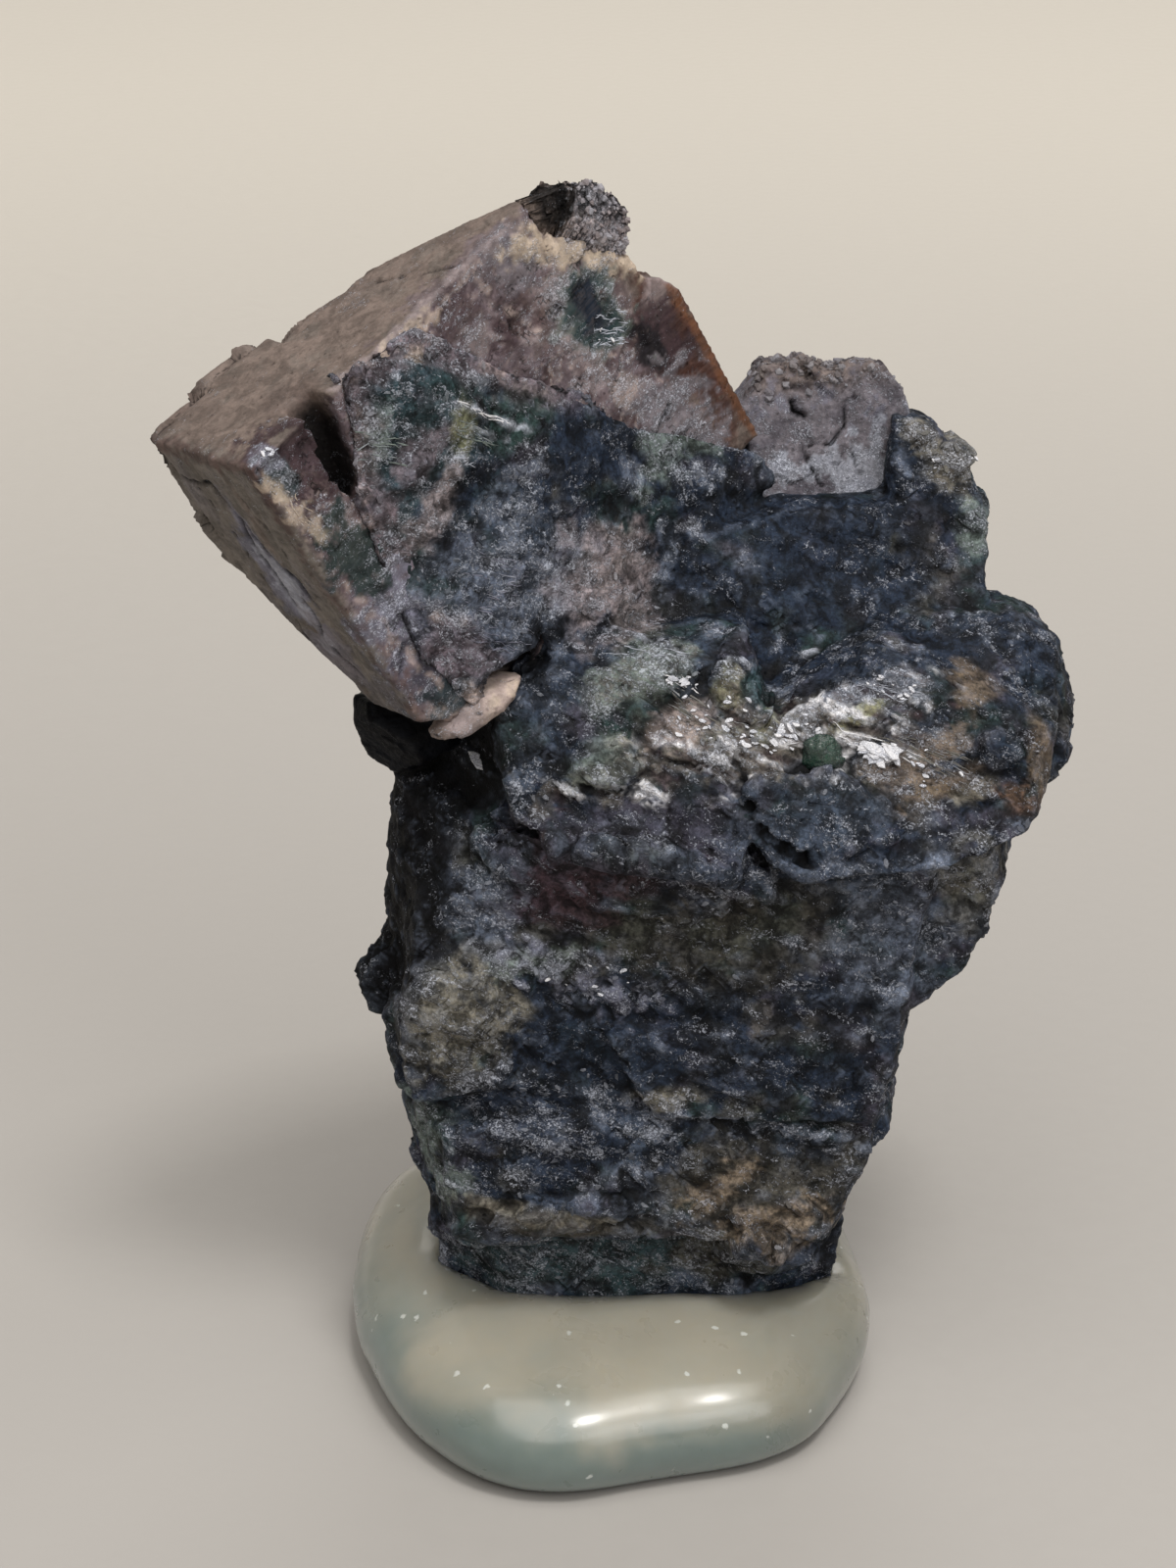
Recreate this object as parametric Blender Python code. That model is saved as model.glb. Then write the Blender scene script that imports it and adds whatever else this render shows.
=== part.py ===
"""A perovskite specimen: a pseudo-cubic crystal block in chlorite schist, standing in a pad of putty.

Metres, +Z up. The origin is the centre of the putty pad's flat underside, and the show face looks
along -Y. Lengths are written in millimetres times MM.
"""

import math
from dataclasses import dataclass

import bmesh
import bpy
from mathutils import Euler, Matrix, Vector

MM = 0.001
GAP = 0.35 * MM  # clearance between neighbouring solids

# Putty pad
PAD_RADIUS = 16.6 * MM
PAD_HEIGHT = 7.0 * MM
PAD_BULGE_HEIGHT = 2.4 * MM  # height of the pad's widest line
PAD_UNDERSIDE_SHARE = 0.92  # radius of the flat underside against the widest line
PAD_SIDES = 48
PAD_CENTRE_DIP = 0.4 * MM

# Main crystal: a block with its near top corner as its origin, its length along X and its front
# face looking along -Y before it is turned. These sizes and its outlines are in millimetres.
BLOCK_LENGTH = 28.8
BLOCK_HEIGHT = 22.5
BLOCK_DEPTH = 11.4
BLOCK_CORNER = Vector((-19.5, -15.0, 64.2)) * MM
BLOCK_TURN = Euler((math.radians(-5.9), math.radians(-29.7), math.radians(41.4)), "XYZ")

# Side crystal: a broken block at the upper right, in the same schist
SIDE_CORNER = Vector((9.3, 7.2, 54.4)) * MM
SIDE_TURN = Euler((math.radians(-14.0), math.radians(-6.0), math.radians(8.0)), "XYZ")

# Dark crystal: a small octahedron-like crystal under the block's lower left end
DARK_CENTRE = Vector((-12.0, -1.6, 44.4)) * MM
DARK_RADIUS = 3.3 * MM
DARK_TURN = Euler((math.radians(14.0), math.radians(20.0), math.radians(31.0)), "XYZ")


@dataclass
class Lobe:
    """A place where the pad spreads wider than a circle."""

    bearing: float  # degrees from +X
    reach: float  # extra radius
    spread: float  # degrees either side


@dataclass
class Slab:
    """A convex slab of schist: an outline at its widest depth, with a smaller front and back face."""

    outline: list  # (x, z) corners in millimetres
    widest: float  # y of the outline
    front: tuple  # (y, x scale, z scale, y per mm of x, y per mm of z) of the front face
    back: tuple  # the same for the back face
    cuts: tuple = ()  # (point, normal) of each plane that a piece of the slab is broken off along


PAD_LOBES = [
    Lobe(-106, 4.1 * MM, 26),
    Lobe(-55, 2.9 * MM, 24),
    Lobe(-20, 0.9 * MM, 20),
    Lobe(-140, 0.7 * MM, 24),
    Lobe(135, 2.4 * MM, 26),
    Lobe(48, 1.6 * MM, 30),
]

FOOT = Slab(
    [(-10.9, 5.2), (-11.4, 9.5), (-10.6, 15.0), (14.0, 15.0), (15.2, 9.5), (14.5, 5.2)],
    -3.0,
    (-6.6, 0.62, 1.0, 0.03, 0.0),
    (7.6, 0.84, 1.0, -0.05, 0.0),
)

SCHIST = {
    "foot": FOOT,
    "lower_body": Slab(
        [
            (-11.2, 10.0), (-13.4, 17.5), (-14.1, 30.0), (-13.3, 41.5),
            (22.0, 41.5), (19.6, 26.0), (18.0, 17.0), (14.8, 10.8),
        ],
        0.5,
        (-9.0, 0.86, 0.9, -0.01, -0.03),
        (8.8, 0.76, 0.92, 0.0, 0.04),
        (((-9.8, -7.5, 36.0), (-0.53, -0.57, 0.63)),),
    ),
    "terrace_left": Slab(
        [(-12.6, 31.0), (-8.0, 31.6), (-5.0, 28.0), (-5.5, 22.5), (-12.6, 21.0), (-13.5, 26.0)],
        -6.0,
        (-9.9, 0.8, 0.8, 0.02, 0.0),
        (-3.0, 0.95, 0.95, 0.0, 0.0),
    ),
    "terrace_right": Slab(
        [(-2.0, 27.8), (6.0, 26.8), (17.2, 27.6), (18.2, 24.0), (17.2, 19.5), (2.0, 20.5)],
        -5.5,
        (-9.8, 0.88, 0.8, 0.06, 0.0),
        (-2.0, 0.95, 0.95, 0.0, 0.0),
    ),
    "lower_lip": Slab(
        [
            (-10.2, 13.6), (-8.0, 12.6), (2.0, 14.6), (8.0, 12.2),
            (14.0, 11.0), (16.5, 17.0), (4.0, 22.0), (-11.5, 21.0),
        ],
        -5.0,
        (-9.6, 0.92, 0.86, 0.05, 0.0),
        (-2.0, 0.9, 0.9, 0.0, 0.0),
    ),
    "right_step": Slab(
        [(6.0, 15.4), (17.2, 15.4), (18.7, 17.6), (18.2, 20.4), (6.0, 21.0)],
        0.0,
        (-6.4, 0.78, 0.4, 0.1, 0.0),
        (5.5, 0.66, 0.8, 0.0, 0.0),
    ),
    "right_shelf": Slab(
        [(4.0, 25.4), (19.0, 25.0), (22.0, 28.0), (23.8, 32.0), (24.8, 37.0), (24.0, 40.5), (4.0, 40.5)],
        -0.5,
        (-7.4, 0.82, 0.66, 0.12, 0.0),
        (8.6, 0.62, 0.9, -0.05, 0.0),
    ),
    "left_knob": Slab(
        [(-12.0, 22.4), (-15.0, 23.4), (-16.0, 25.8), (-15.4, 28.0), (-13.4, 30.0), (-11.0, 28.0)],
        1.5,
        (-1.6, 0.75, 0.75, 0.0, 0.0),
        (4.6, 0.7, 0.7, 0.0, 0.0),
    ),
    "ledge_left": Slab(
        [(-4.6, 49.6), (-7.0, 45.0), (-6.4, 39.8), (8.0, 37.4), (10.0, 44.0), (8.0, 50.6)],
        -4.0,
        (-8.8, 0.9, 0.82, -0.08, 0.5),
        (6.0, 0.9, 0.9, 0.0, 0.0),
    ),
    "ledge_right": Slab(
        [(6.4, 45.5), (6.8, 40.6), (10.0, 37.8), (20.4, 37.8), (25.6, 39.4), (27.0, 46.0), (16.0, 49.8)],
        -3.0,
        (-9.2, 0.86, 0.9, 0.16, 0.56),
        (8.0, 0.9, 0.9, 0.0, 0.0),
    ),
    "right_lobe": Slab(
        [(17.0, 38.2), (25.2, 38.2), (28.0, 40.8), (28.6, 44.2), (27.2, 48.2), (24.6, 49.8), (17.0, 49.6)],
        1.0,
        (-3.6, 0.82, 0.7, 0.1, 0.16),
        (8.0, 0.74, 0.8, 0.0, 0.0),
    ),
    "mid_body": Slab(
        [(-13.0, 37.0), (-13.0, 42.8), (-6.0, 48.0), (2.0, 52.6), (12.0, 52.4), (23.0, 50.4), (24.0, 38.0)],
        3.0,
        (-3.0, 0.94, 0.9, 0.2, 0.6),
        (12.0, 0.86, 0.9, 0.02, 0.1),
        (((-9.5, -2.0, 42.0), (-0.75, -0.62, 0.2)),),
    ),
    "upper_body": Slab(
        [(-3.0, 48.0), (5.0, 54.4), (10.0, 55.4), (18.6, 55.4), (21.8, 54.6), (23.0, 52.0), (23.2, 47.0)],
        8.0,
        (2.8, 0.97, 0.96, 0.2, 0.45),
        (16.0, 0.82, 0.82, 0.0, 0.0),
    ),
    "back_wall": Slab(
        [
            (-5.0, 42.0), (-7.4, 48.0), (-4.0, 55.0), (4.0, 58.8),
            (11.0, 59.2), (17.4, 57.6), (20.6, 52.0), (20.0, 40.0),
        ],
        13.0,
        (10.6, 0.96, 0.96, 0.0, 0.0),
        (18.0, 0.76, 0.8, -0.04, 0.02),
    ),
    "side_rim": Slab(
        [(16.8, 53.0), (17.0, 60.4), (19.4, 59.8), (21.8, 57.6), (23.6, 52.0), (22.0, 49.0)],
        7.0,
        (5.2, 0.84, 0.9, 0.0, 0.3),
        (13.0, 0.74, 0.8, 0.0, 0.0),
    ),
}

# Outline of the chlorite skin on the block's front face: (length, height) from the block's corner
SKIN_OUTLINE = [
    (7.2, 0.6), (12.6, -0.4), (16.4, -6.6), (20.2, -11.6), (21.3, -15.2), (24.6, -18.6),
    (27.6, -22.6), (27.6, -25.2), (12.0, -24.6), (3.2, -21.4), (2.0, -16.0), (3.8, -6.8), (6.6, -1.6),
]
SKIN_THICKNESS = 1.1

# Outline of the block's front face, clockwise from its near top corner, and where its back is broken
BLOCK_OUTLINE = [
    (0.0, 0.0), (22.8, 0.0), (24.4, -0.7), (26.2, -1.9), (27.0, -3.6), (26.8, -5.8),
    (27.0, -8.8), (28.0, -9.6), (BLOCK_LENGTH, -11.0), (BLOCK_LENGTH, -BLOCK_HEIGHT),
    (3.2, -BLOCK_HEIGHT), (0.0, -19.6),
]
BLOCK_STEP_LENGTH = 9.2  # the block is thickest up to here along its length
BLOCK_STEP_DROP = 3.75
CAVITY_OUTLINE = [(4.7, 2.0), (6.4, 1.2), (6.1, -2.2), (4.5, -6.6), (3.7, -5.0), (4.2, -1.4)]
CAVITY_DEPTH = 2.4

# Small mineral masses on the block, as corners in its frame: (length, depth, height) in millimetres
CRUST_CORNERS = [
    (22.9, -0.4, -1.6), (23.4, -0.5, 0.0), (25.0, -0.6, -0.4), (27.0, -0.5, -1.6), (27.9, -0.4, -3.2),
    (28.1, -0.3, -4.4), (27.2, -0.3, -6.2), (25.3, -0.5, -4.3), (23.9, 1.6, -0.3), (25.4, 2.2, -0.8),
    (27.3, 2.0, -2.4), (27.8, 1.8, -4.4), (26.9, 1.8, -5.8), (24.8, 2.8, -1.6), (26.3, 2.8, -3.2),
]
RIND_CENTRE = Vector((4.7, 0.3, -22.4))
RIND_RADII = Vector((3.1, 1.5, 1.05))
RIND_TURN = math.radians(-11.0)  # about the block's depth axis

# Green grain: a glassy chlorite crystal set in the ledge
GRAIN_CENTRE = Vector((12.3, -8.2, 44.5)) * MM
GRAIN_RADII = Vector((1.25, 0.95, 1.15)) * MM
GRAIN_TURN = Euler((math.radians(20.0), math.radians(35.0), math.radians(12.0)), "XYZ")

# Shadowed hollow in the schist beside the block's lowest corner, as (x, z) at the front
HOLLOW_OUTLINE = [
    (-7.3, 48.4), (-6.2, 49.6), (-4.7, 50.4), (-3.4, 50.9), (-3.2, 49.4), (-4.5, 48.2), (-5.5, 47.4),
]
HOLLOW_NEAR = -9.5
HOLLOW_FAR = -4.2

SIDE_OUTLINE = [
    (-0.4, 6.0), (0.2, -0.6), (2.8, -1.8), (9.4, -0.6), (9.9, 2.0), (9.3, 5.0),
    (8.4, 6.5), (7.0, 7.0), (4.6, 7.6), (4.2, 8.2), (1.8, 8.3), (1.0, 7.4),
]
SIDE_DEPTH = 6.0


def clear_scene():
    """Removes the objects that the file opened with."""
    for old in list(bpy.data.objects):
        bpy.data.objects.remove(old)


def material(name, colour, roughness, metallic=0.0):
    """A Principled finish of one colour."""
    made = bpy.data.materials.new(name)
    made.use_nodes = True
    shader = made.node_tree.nodes["Principled BSDF"]
    shader.inputs["Base Color"].default_value = (*colour, 1.0)
    shader.inputs["Roughness"].default_value = roughness
    shader.inputs["Metallic"].default_value = metallic
    return made


def object_from(name, shape, finish=None):
    """Links a bmesh to the scene as a named object, with its faces pointing out."""
    bmesh.ops.recalc_face_normals(shape, faces=shape.faces)
    mesh = bpy.data.meshes.new(name)
    shape.to_mesh(mesh)
    shape.free()
    if finish:
        mesh.materials.append(finish)
    made = bpy.data.objects.new(name, mesh)
    bpy.context.scene.collection.objects.link(made)
    return made


def hull_of(points):
    """The convex hull of the points, as a bmesh."""
    shape = bmesh.new()
    for point in points:
        shape.verts.new(point)
    made = bmesh.ops.convex_hull(shape, input=shape.verts)
    loose = {v for v in made["geom_interior"] + made["geom_unused"] if isinstance(v, bmesh.types.BMVert)}
    bmesh.ops.delete(shape, geom=list(loose), context="VERTS")
    bmesh.ops.dissolve_limit(
        shape, angle_limit=math.radians(0.5), verts=shape.verts, edges=shape.edges
    )
    return shape


def grown(points, by):
    """The points moved to the corners of a cube round each, so that their hull is larger all round."""
    steps = [(sx, sy, sz) for sx in (-by, by) for sy in (-by, by) for sz in (-by, by)]
    return [Vector(point) + Vector(step) for point in points for step in steps]


def slab_points(slab):
    """The corners of a slab: its outline, and that outline scaled onto its front and back faces."""
    centre_x = sum(x for x, _ in slab.outline) / len(slab.outline)
    centre_z = sum(z for _, z in slab.outline) / len(slab.outline)
    points = [Vector((x, slab.widest, z)) * MM for x, z in slab.outline]
    for depth, scale_x, scale_z, per_x, per_z in (slab.front, slab.back):
        for x, z in slab.outline:
            dx = (x - centre_x) * scale_x
            dz = (z - centre_z) * scale_z
            points.append(Vector((centre_x + dx, depth + per_x * dx + per_z * dz, centre_z + dz)) * MM)
    return points


def slab_shape(slab):
    """A slab as a bmesh, with its broken corners cut away."""
    shape = hull_of(slab_points(slab))
    for point, normal in slab.cuts:
        slice_off(shape, point, normal)
    return shape


def prism(outline, near, far):
    """A bmesh of an (x, z) outline in millimetres, extruded from one depth to another along +Y."""
    shape = bmesh.new()
    corners = [shape.verts.new(Vector((x, near, z)) * MM) for x, z in outline]
    face = shape.faces.new(corners)
    moved = bmesh.ops.extrude_face_region(shape, geom=[face])["geom"]
    ends = [v for v in moved if isinstance(v, bmesh.types.BMVert)]
    bmesh.ops.translate(shape, verts=ends, vec=Vector((0.0, far - near, 0.0)) * MM)
    return shape


def slice_off(shape, point, normal):
    """Cuts away what lies beyond a plane, and closes the cut."""
    geometry = shape.verts[:] + shape.edges[:] + shape.faces[:]
    cut = bmesh.ops.bisect_plane(
        shape, geom=geometry, plane_co=Vector(point) * MM, plane_no=Vector(normal), clear_outer=True
    )
    rim = [e for e in cut["geom_cut"] if isinstance(e, bmesh.types.BMEdge)]
    bmesh.ops.edgenet_fill(shape, edges=rim)


def helper(made, folder):
    """Keeps an object out of the model, as a shape that a Boolean reads."""
    made.hide_render = True
    made.display_type = "WIRE"
    bpy.context.scene.collection.objects.unlink(made)
    folder.objects.link(made)
    return made


def boolean(target, operation, folder):
    """Joins or cuts target with every object in a collection."""
    step = target.modifiers.new(operation.title(), "BOOLEAN")
    step.operation = operation
    step.operand_type = "COLLECTION"
    step.collection = folder
    step.solver = "EXACT"


def new_folder(name):
    """A collection for helper shapes."""
    folder = bpy.data.collections.new(name)
    bpy.context.scene.collection.children.link(folder)
    return folder


def pad_radius(bearing):
    """The pad's radius in a direction, in degrees from +X."""
    radius = PAD_RADIUS
    for lobe in PAD_LOBES:
        away = (bearing - lobe.bearing + 180.0) % 360.0 - 180.0
        radius += lobe.reach * math.exp(-((away / lobe.spread) ** 2))
    return radius


def pad_profile():
    """(height, share of radius) rings of the pad, from its underside over its bulge to near its centre."""
    rings = [(0.0, PAD_UNDERSIDE_SHARE), (0.35 * PAD_BULGE_HEIGHT, 0.975)]
    for step in range(8):
        turn = math.radians(90.0) * step / 8
        height = PAD_BULGE_HEIGHT + (PAD_HEIGHT - PAD_BULGE_HEIGHT) * math.sin(turn) ** 0.9
        rings.append((height, 0.56 + 0.44 * math.cos(turn) ** 0.8))
    rings.append((PAD_HEIGHT, 0.5))
    return rings


def build_pad(finish):
    """The putty pad, with a socket pressed into it by the schist's foot."""
    shape = bmesh.new()
    loops = []
    for height, share in pad_profile():
        bearings = [360.0 * side / PAD_SIDES for side in range(PAD_SIDES)]
        loops.append(
            [
                shape.verts.new(
                    (
                        share * pad_radius(b) * math.cos(math.radians(b)),
                        share * pad_radius(b) * math.sin(math.radians(b)),
                        height,
                    )
                )
                for b in bearings
            ]
        )
    for lower, upper in zip(loops, loops[1:]):
        for side in range(PAD_SIDES):
            after = (side + 1) % PAD_SIDES
            shape.faces.new((lower[side], lower[after], upper[after], upper[side]))
    shape.faces.new(loops[0])
    crown = shape.verts.new((0.0, 0.0, PAD_HEIGHT - PAD_CENTRE_DIP))
    for side in range(PAD_SIDES):
        shape.faces.new((loops[-1][side], loops[-1][(side + 1) % PAD_SIDES], crown))
    pad = object_from("putty_pad", shape, finish)
    folder = new_folder("pad_socket")
    socket = object_from("foot_socket", hull_of(grown(slab_points(FOOT), GAP)))
    helper(socket, folder)
    boolean(pad, "DIFFERENCE", folder)
    return pad


def rounded_points(radii):
    """Corners spread over an ellipsoid in rings, for a lump with small flat facets."""
    points = []
    for ring in range(1, 6):
        tilt = math.pi * ring / 6
        for side in range(10):
            turn = 2 * math.pi * (side + 0.5 * (ring % 2)) / 10
            flat = math.sin(tilt)
            way = Vector((flat * math.cos(turn), flat * math.sin(turn), math.cos(tilt)))
            points.append(Vector(a * b for a, b in zip(way, radii)))
    return points + [Vector((0, 0, radii.z)), Vector((0, 0, -radii.z))]


def crust_points():
    """The corners of the dark crust lump, in the world."""
    place = Matrix.LocRotScale(BLOCK_CORNER, BLOCK_TURN, None)
    return [place @ (Vector(corner) * MM) for corner in CRUST_CORNERS]


def rind_points():
    """The corners of the cream rind under the block's lowest corner, in the world."""
    place = Matrix.LocRotScale(BLOCK_CORNER, BLOCK_TURN, None)
    turn = Matrix.Rotation(RIND_TURN, 3, "Y")
    return [place @ ((RIND_CENTRE + turn @ point) * MM) for point in rounded_points(RIND_RADII)]


def grain_points():
    """The corners of the green grain, in the world."""
    place = Matrix.LocRotScale(GRAIN_CENTRE, GRAIN_TURN, None)
    radii = GRAIN_RADII
    corners = [(x, y, z) for x in (-1, 1) for y in (-1, 1) for z in (-1, 1)]
    tips = [(x * 0.62, y * 0.62, z * 0.62) for x, y, z in corners]
    tips += [(1, 0.1, 0), (-1, 0, 0.1), (0, 1, 0), (0.1, -1, 0), (0, 0.1, 1), (0, 0, -1)]
    return [place @ Vector((x * radii.x, y * radii.y, z * radii.z)) for x, y, z in tips]


def block_points():
    """The corners of the block's bounding prism in the world, for the sockets that it sits in."""
    place = Matrix.LocRotScale(BLOCK_CORNER, BLOCK_TURN, None)
    ends = (0.0, BLOCK_DEPTH)
    return [place @ (Vector((x, y, z)) * MM) for x, z in BLOCK_OUTLINE for y in ends]


def build_block(finish):
    """The main crystal, with its broken back edge and the growth step on its upper face."""
    shape = prism(BLOCK_OUTLINE, 0.0, BLOCK_DEPTH)
    slice_off(shape, (4.9, 11.7, 0.0), (0.2, 0.62, 0.5))
    slice_off(shape, (16.1, 7.3, 0.0), (0.5, 0.6, 0.4))
    slice_off(shape, (0.0, 11.4, -9.5), (-0.42, 0.74, -0.5))
    block = object_from("perovskite_block", shape, finish)
    folder = new_folder("block_cuts")
    outline = [
        (BLOCK_STEP_LENGTH, -1.0),
        (BLOCK_STEP_LENGTH, 2.0),
        (BLOCK_LENGTH + 1.0, 2.0),
        (BLOCK_LENGTH + 1.0, -1.0),
    ]
    step = object_from("block_step", prism(outline, BLOCK_DEPTH - BLOCK_STEP_DROP, BLOCK_DEPTH + 3.0))
    cavity = object_from("block_cavity", prism(CAVITY_OUTLINE, -3.0, CAVITY_DEPTH))
    for made in (step, cavity):
        helper(made, folder)
    for made in (block, step, cavity):
        made.location = BLOCK_CORNER
        made.rotation_euler = BLOCK_TURN
    for name, points in (("crust_seat", crust_points()), ("rind_seat", rind_points())):
        helper(object_from(name, hull_of(grown(points, GAP))), folder)
    boolean(block, "DIFFERENCE", folder)
    return block


def side_points():
    """The side crystal's corners in the world."""
    place = Matrix.LocRotScale(SIDE_CORNER, SIDE_TURN, None)
    return [place @ (Vector((x, y, z)) * MM) for x, z in SIDE_OUTLINE for y in (0.0, SIDE_DEPTH)]


def build_side(finish, folder):
    """The side crystal, cut clear of the block beside it."""
    side = object_from("side_crystal", prism(SIDE_OUTLINE, 0.0, SIDE_DEPTH), finish)
    side.location = SIDE_CORNER
    side.rotation_euler = SIDE_TURN
    boolean(side, "DIFFERENCE", folder)
    return side


def dark_points():
    """The dark crystal's corners in the world: an octahedron with its tips cut off."""
    place = Matrix.LocRotScale(DARK_CENTRE, DARK_TURN, None)
    tip, waist = 1.0, 0.38
    points = []
    for axis in range(3):
        for way in (-1.0, 1.0):
            for a, b in ((waist, 0.0), (-waist, 0.0), (0.0, waist), (0.0, -waist)):
                corner = [0.0, 0.0, 0.0]
                corner[axis] = way * tip
                corner[(axis + 1) % 3] = a
                corner[(axis + 2) % 3] = b
                points.append(place @ (Vector(corner) * DARK_RADIUS))
    return points


def build_dark(finish, folder):
    """The dark crystal, cut clear of the block above it."""
    dark = object_from("dark_crystal", hull_of(dark_points()), finish)
    boolean(dark, "DIFFERENCE", folder)
    return dark


def skin_points():
    """The corners of the chlorite skin, in the world: a thin plate on the block's front face."""
    place = Matrix.LocRotScale(BLOCK_CORNER, BLOCK_TURN, None)
    return [
        [place @ (Vector((x, y, z)) * MM) for y in (-SKIN_THICKNESS, 1.0)] for x, z in SKIN_OUTLINE
    ]


def build_skin():
    """The chlorite skin as a closed plate."""
    shape = bmesh.new()
    pairs = [[shape.verts.new(point) for point in pair] for pair in skin_points()]
    shape.faces.new([pair[0] for pair in pairs])
    shape.faces.new([pair[1] for pair in reversed(pairs)])
    for here, after in zip(pairs, pairs[1:] + pairs[:1]):
        shape.faces.new((here[1], here[0], after[0], after[1]))
    return object_from("skin", shape)


def build_schist(finish, sockets):
    """The chlorite schist matrix: its slabs joined in one solid, with a socket for each crystal."""
    slabs = new_folder("schist_slabs")
    for name, slab in SCHIST.items():
        if name != "lower_body":
            helper(object_from(name, slab_shape(slab)), slabs)
    helper(build_skin(), slabs)
    schist = object_from("schist_matrix", slab_shape(SCHIST["lower_body"]), finish)
    boolean(schist, "UNION", slabs)
    boolean(schist, "DIFFERENCE", sockets)
    return schist


def main():
    """Builds the pieces of the specimen."""
    clear_scene()
    schist_finish = material("chlorite_schist", (0.045, 0.06, 0.075), 0.55)
    block_finish = material("brown_perovskite", (0.16, 0.1, 0.075), 0.42)
    side_finish = material("grey_perovskite", (0.17, 0.155, 0.165), 0.4)
    dark_finish = material("black_crystal", (0.02, 0.022, 0.02), 0.3)
    crust_finish = material("grey_crust", (0.11, 0.105, 0.12), 0.6)
    rind_finish = material("cream_rind", (0.5, 0.42, 0.33), 0.55)
    grain_finish = material("green_chlorite", (0.03, 0.075, 0.055), 0.25)
    putty_finish = material("clear_putty", (0.72, 0.74, 0.66), 0.2)

    block_sockets = new_folder("block_sockets")
    helper(object_from("block_socket", hull_of(grown(block_points(), GAP))), block_sockets)
    schist_sockets = new_folder("schist_sockets")
    for name, points in (
        ("block_room", block_points()),
        ("side_room", side_points()),
        ("dark_room", dark_points()),
        ("rind_room", rind_points()),
        ("grain_room", grain_points()),
    ):
        helper(object_from(name, hull_of(grown(points, GAP))), schist_sockets)
    hollow = object_from("shadow_hollow", prism(HOLLOW_OUTLINE, HOLLOW_NEAR, HOLLOW_FAR))
    helper(hollow, schist_sockets)

    build_pad(putty_finish)
    build_block(block_finish)
    build_side(side_finish, block_sockets)
    build_dark(dark_finish, block_sockets)
    object_from("grey_crust", hull_of(crust_points()), crust_finish)
    object_from("cream_rind", hull_of(rind_points()), rind_finish)
    object_from("green_grain", hull_of(grain_points()), grain_finish)
    build_schist(schist_finish, schist_sockets)


main()
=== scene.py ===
"""Perovskite crystals on chlorite schist, standing in a pad of display putty.

The CAD frame gives every piece its place. Each natural body gets a dense skin, which is layered, chipped
and cracked in millimetres, painted with named spots of mineral and of shade, and dressed in a node material.
"""

import itertools
import logging
import math
from dataclasses import dataclass, field
from enum import Enum
from typing import Iterable, Sequence

import bmesh
import bpy
import numpy as np
from mathutils import Euler, Matrix, Quaternion, Vector
from mathutils.bvhtree import BVHTree


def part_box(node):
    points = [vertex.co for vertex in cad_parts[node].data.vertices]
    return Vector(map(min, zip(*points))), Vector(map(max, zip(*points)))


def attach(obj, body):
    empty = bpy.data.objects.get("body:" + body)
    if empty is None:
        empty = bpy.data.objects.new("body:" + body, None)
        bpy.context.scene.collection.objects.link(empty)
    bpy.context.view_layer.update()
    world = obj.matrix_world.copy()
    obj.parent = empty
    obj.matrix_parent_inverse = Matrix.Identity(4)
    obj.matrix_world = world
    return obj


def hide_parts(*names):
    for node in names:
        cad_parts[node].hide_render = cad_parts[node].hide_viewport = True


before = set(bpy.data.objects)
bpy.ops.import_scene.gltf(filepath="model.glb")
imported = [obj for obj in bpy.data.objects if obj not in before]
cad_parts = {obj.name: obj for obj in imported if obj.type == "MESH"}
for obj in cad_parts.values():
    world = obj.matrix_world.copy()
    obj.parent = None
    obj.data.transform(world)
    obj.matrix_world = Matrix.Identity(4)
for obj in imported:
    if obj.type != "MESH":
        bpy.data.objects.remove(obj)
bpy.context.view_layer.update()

LOG = logging.getLogger("specimen")
MM = 0.001
BODY = "root"
MOST_TRIANGLES = 192_000
# Metres within which two points of a CAD net count as one.
SAME_POINT = 2e-6
# Share of painted hollow shade for each millimetre that a point lies below its neighbours.
HOLLOW_SHADE_GAIN = 14.0
# How soon a point that nears a CAD node is drawn the whole way into it.
MEET_GAIN = 2.5

Array = np.ndarray
Point = tuple[float, float, float]
Object = bpy.types.Object
Mesh = bpy.types.Mesh
Net = bmesh.types.BMesh
Material = bpy.types.Material
Socket = bpy.types.NodeSocket
Value = float | Socket


class Stone(Enum):
    """Mineral colours, as display red, green and blue from 0 to 255."""

    NAVY = (23, 30, 42)
    INK = (15, 17, 22)
    DUSK = (52, 49, 58)
    SLATE = (46, 54, 66)
    STEEL = (84, 91, 105)
    LAVENDER = (106, 106, 122)
    SILVER = (178, 182, 194)
    WHITE_MICA = (238, 236, 238)
    DARK_GREEN = (29, 43, 40)
    TEAL = (37, 55, 58)
    SAGE = (100, 110, 104)
    OLIVE = (104, 104, 80)
    MOSS_BROWN = (60, 57, 50)
    GOLD = (92, 79, 62)
    TAN = (104, 92, 79)
    RUST = (76, 56, 42)
    MAROON = (46, 33, 37)
    BEIGE = (100, 96, 86)
    CREAM = (184, 168, 151)
    PINK_GREY = (132, 121, 122)
    TAUPE = (106, 94, 88)
    WARM_GREY = (100, 94, 89)
    RED_BROWN = (80, 63, 60)
    RUSSET = (62, 38, 32)
    AMBER = (98, 64, 44)
    PLUM = (95, 84, 90)
    PURPLE_BROWN = (54, 41, 45)
    ROSE_TAN = (160, 144, 138)
    LILAC_GREY = (104, 99, 105)
    BLACK = (6, 6, 8)
    BOTTLE_GREEN = (24, 58, 44)

    @property
    def linear(self) -> Array:
        """The colour as linear red, green and blue from 0 to 1."""
        share = np.array(self.value) / 255
        return np.where(share <= 0.04045, share / 12.92, ((share + 0.055) / 1.055) ** 2.4)


# ---------------------------------------------------------------- noise and distance


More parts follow.
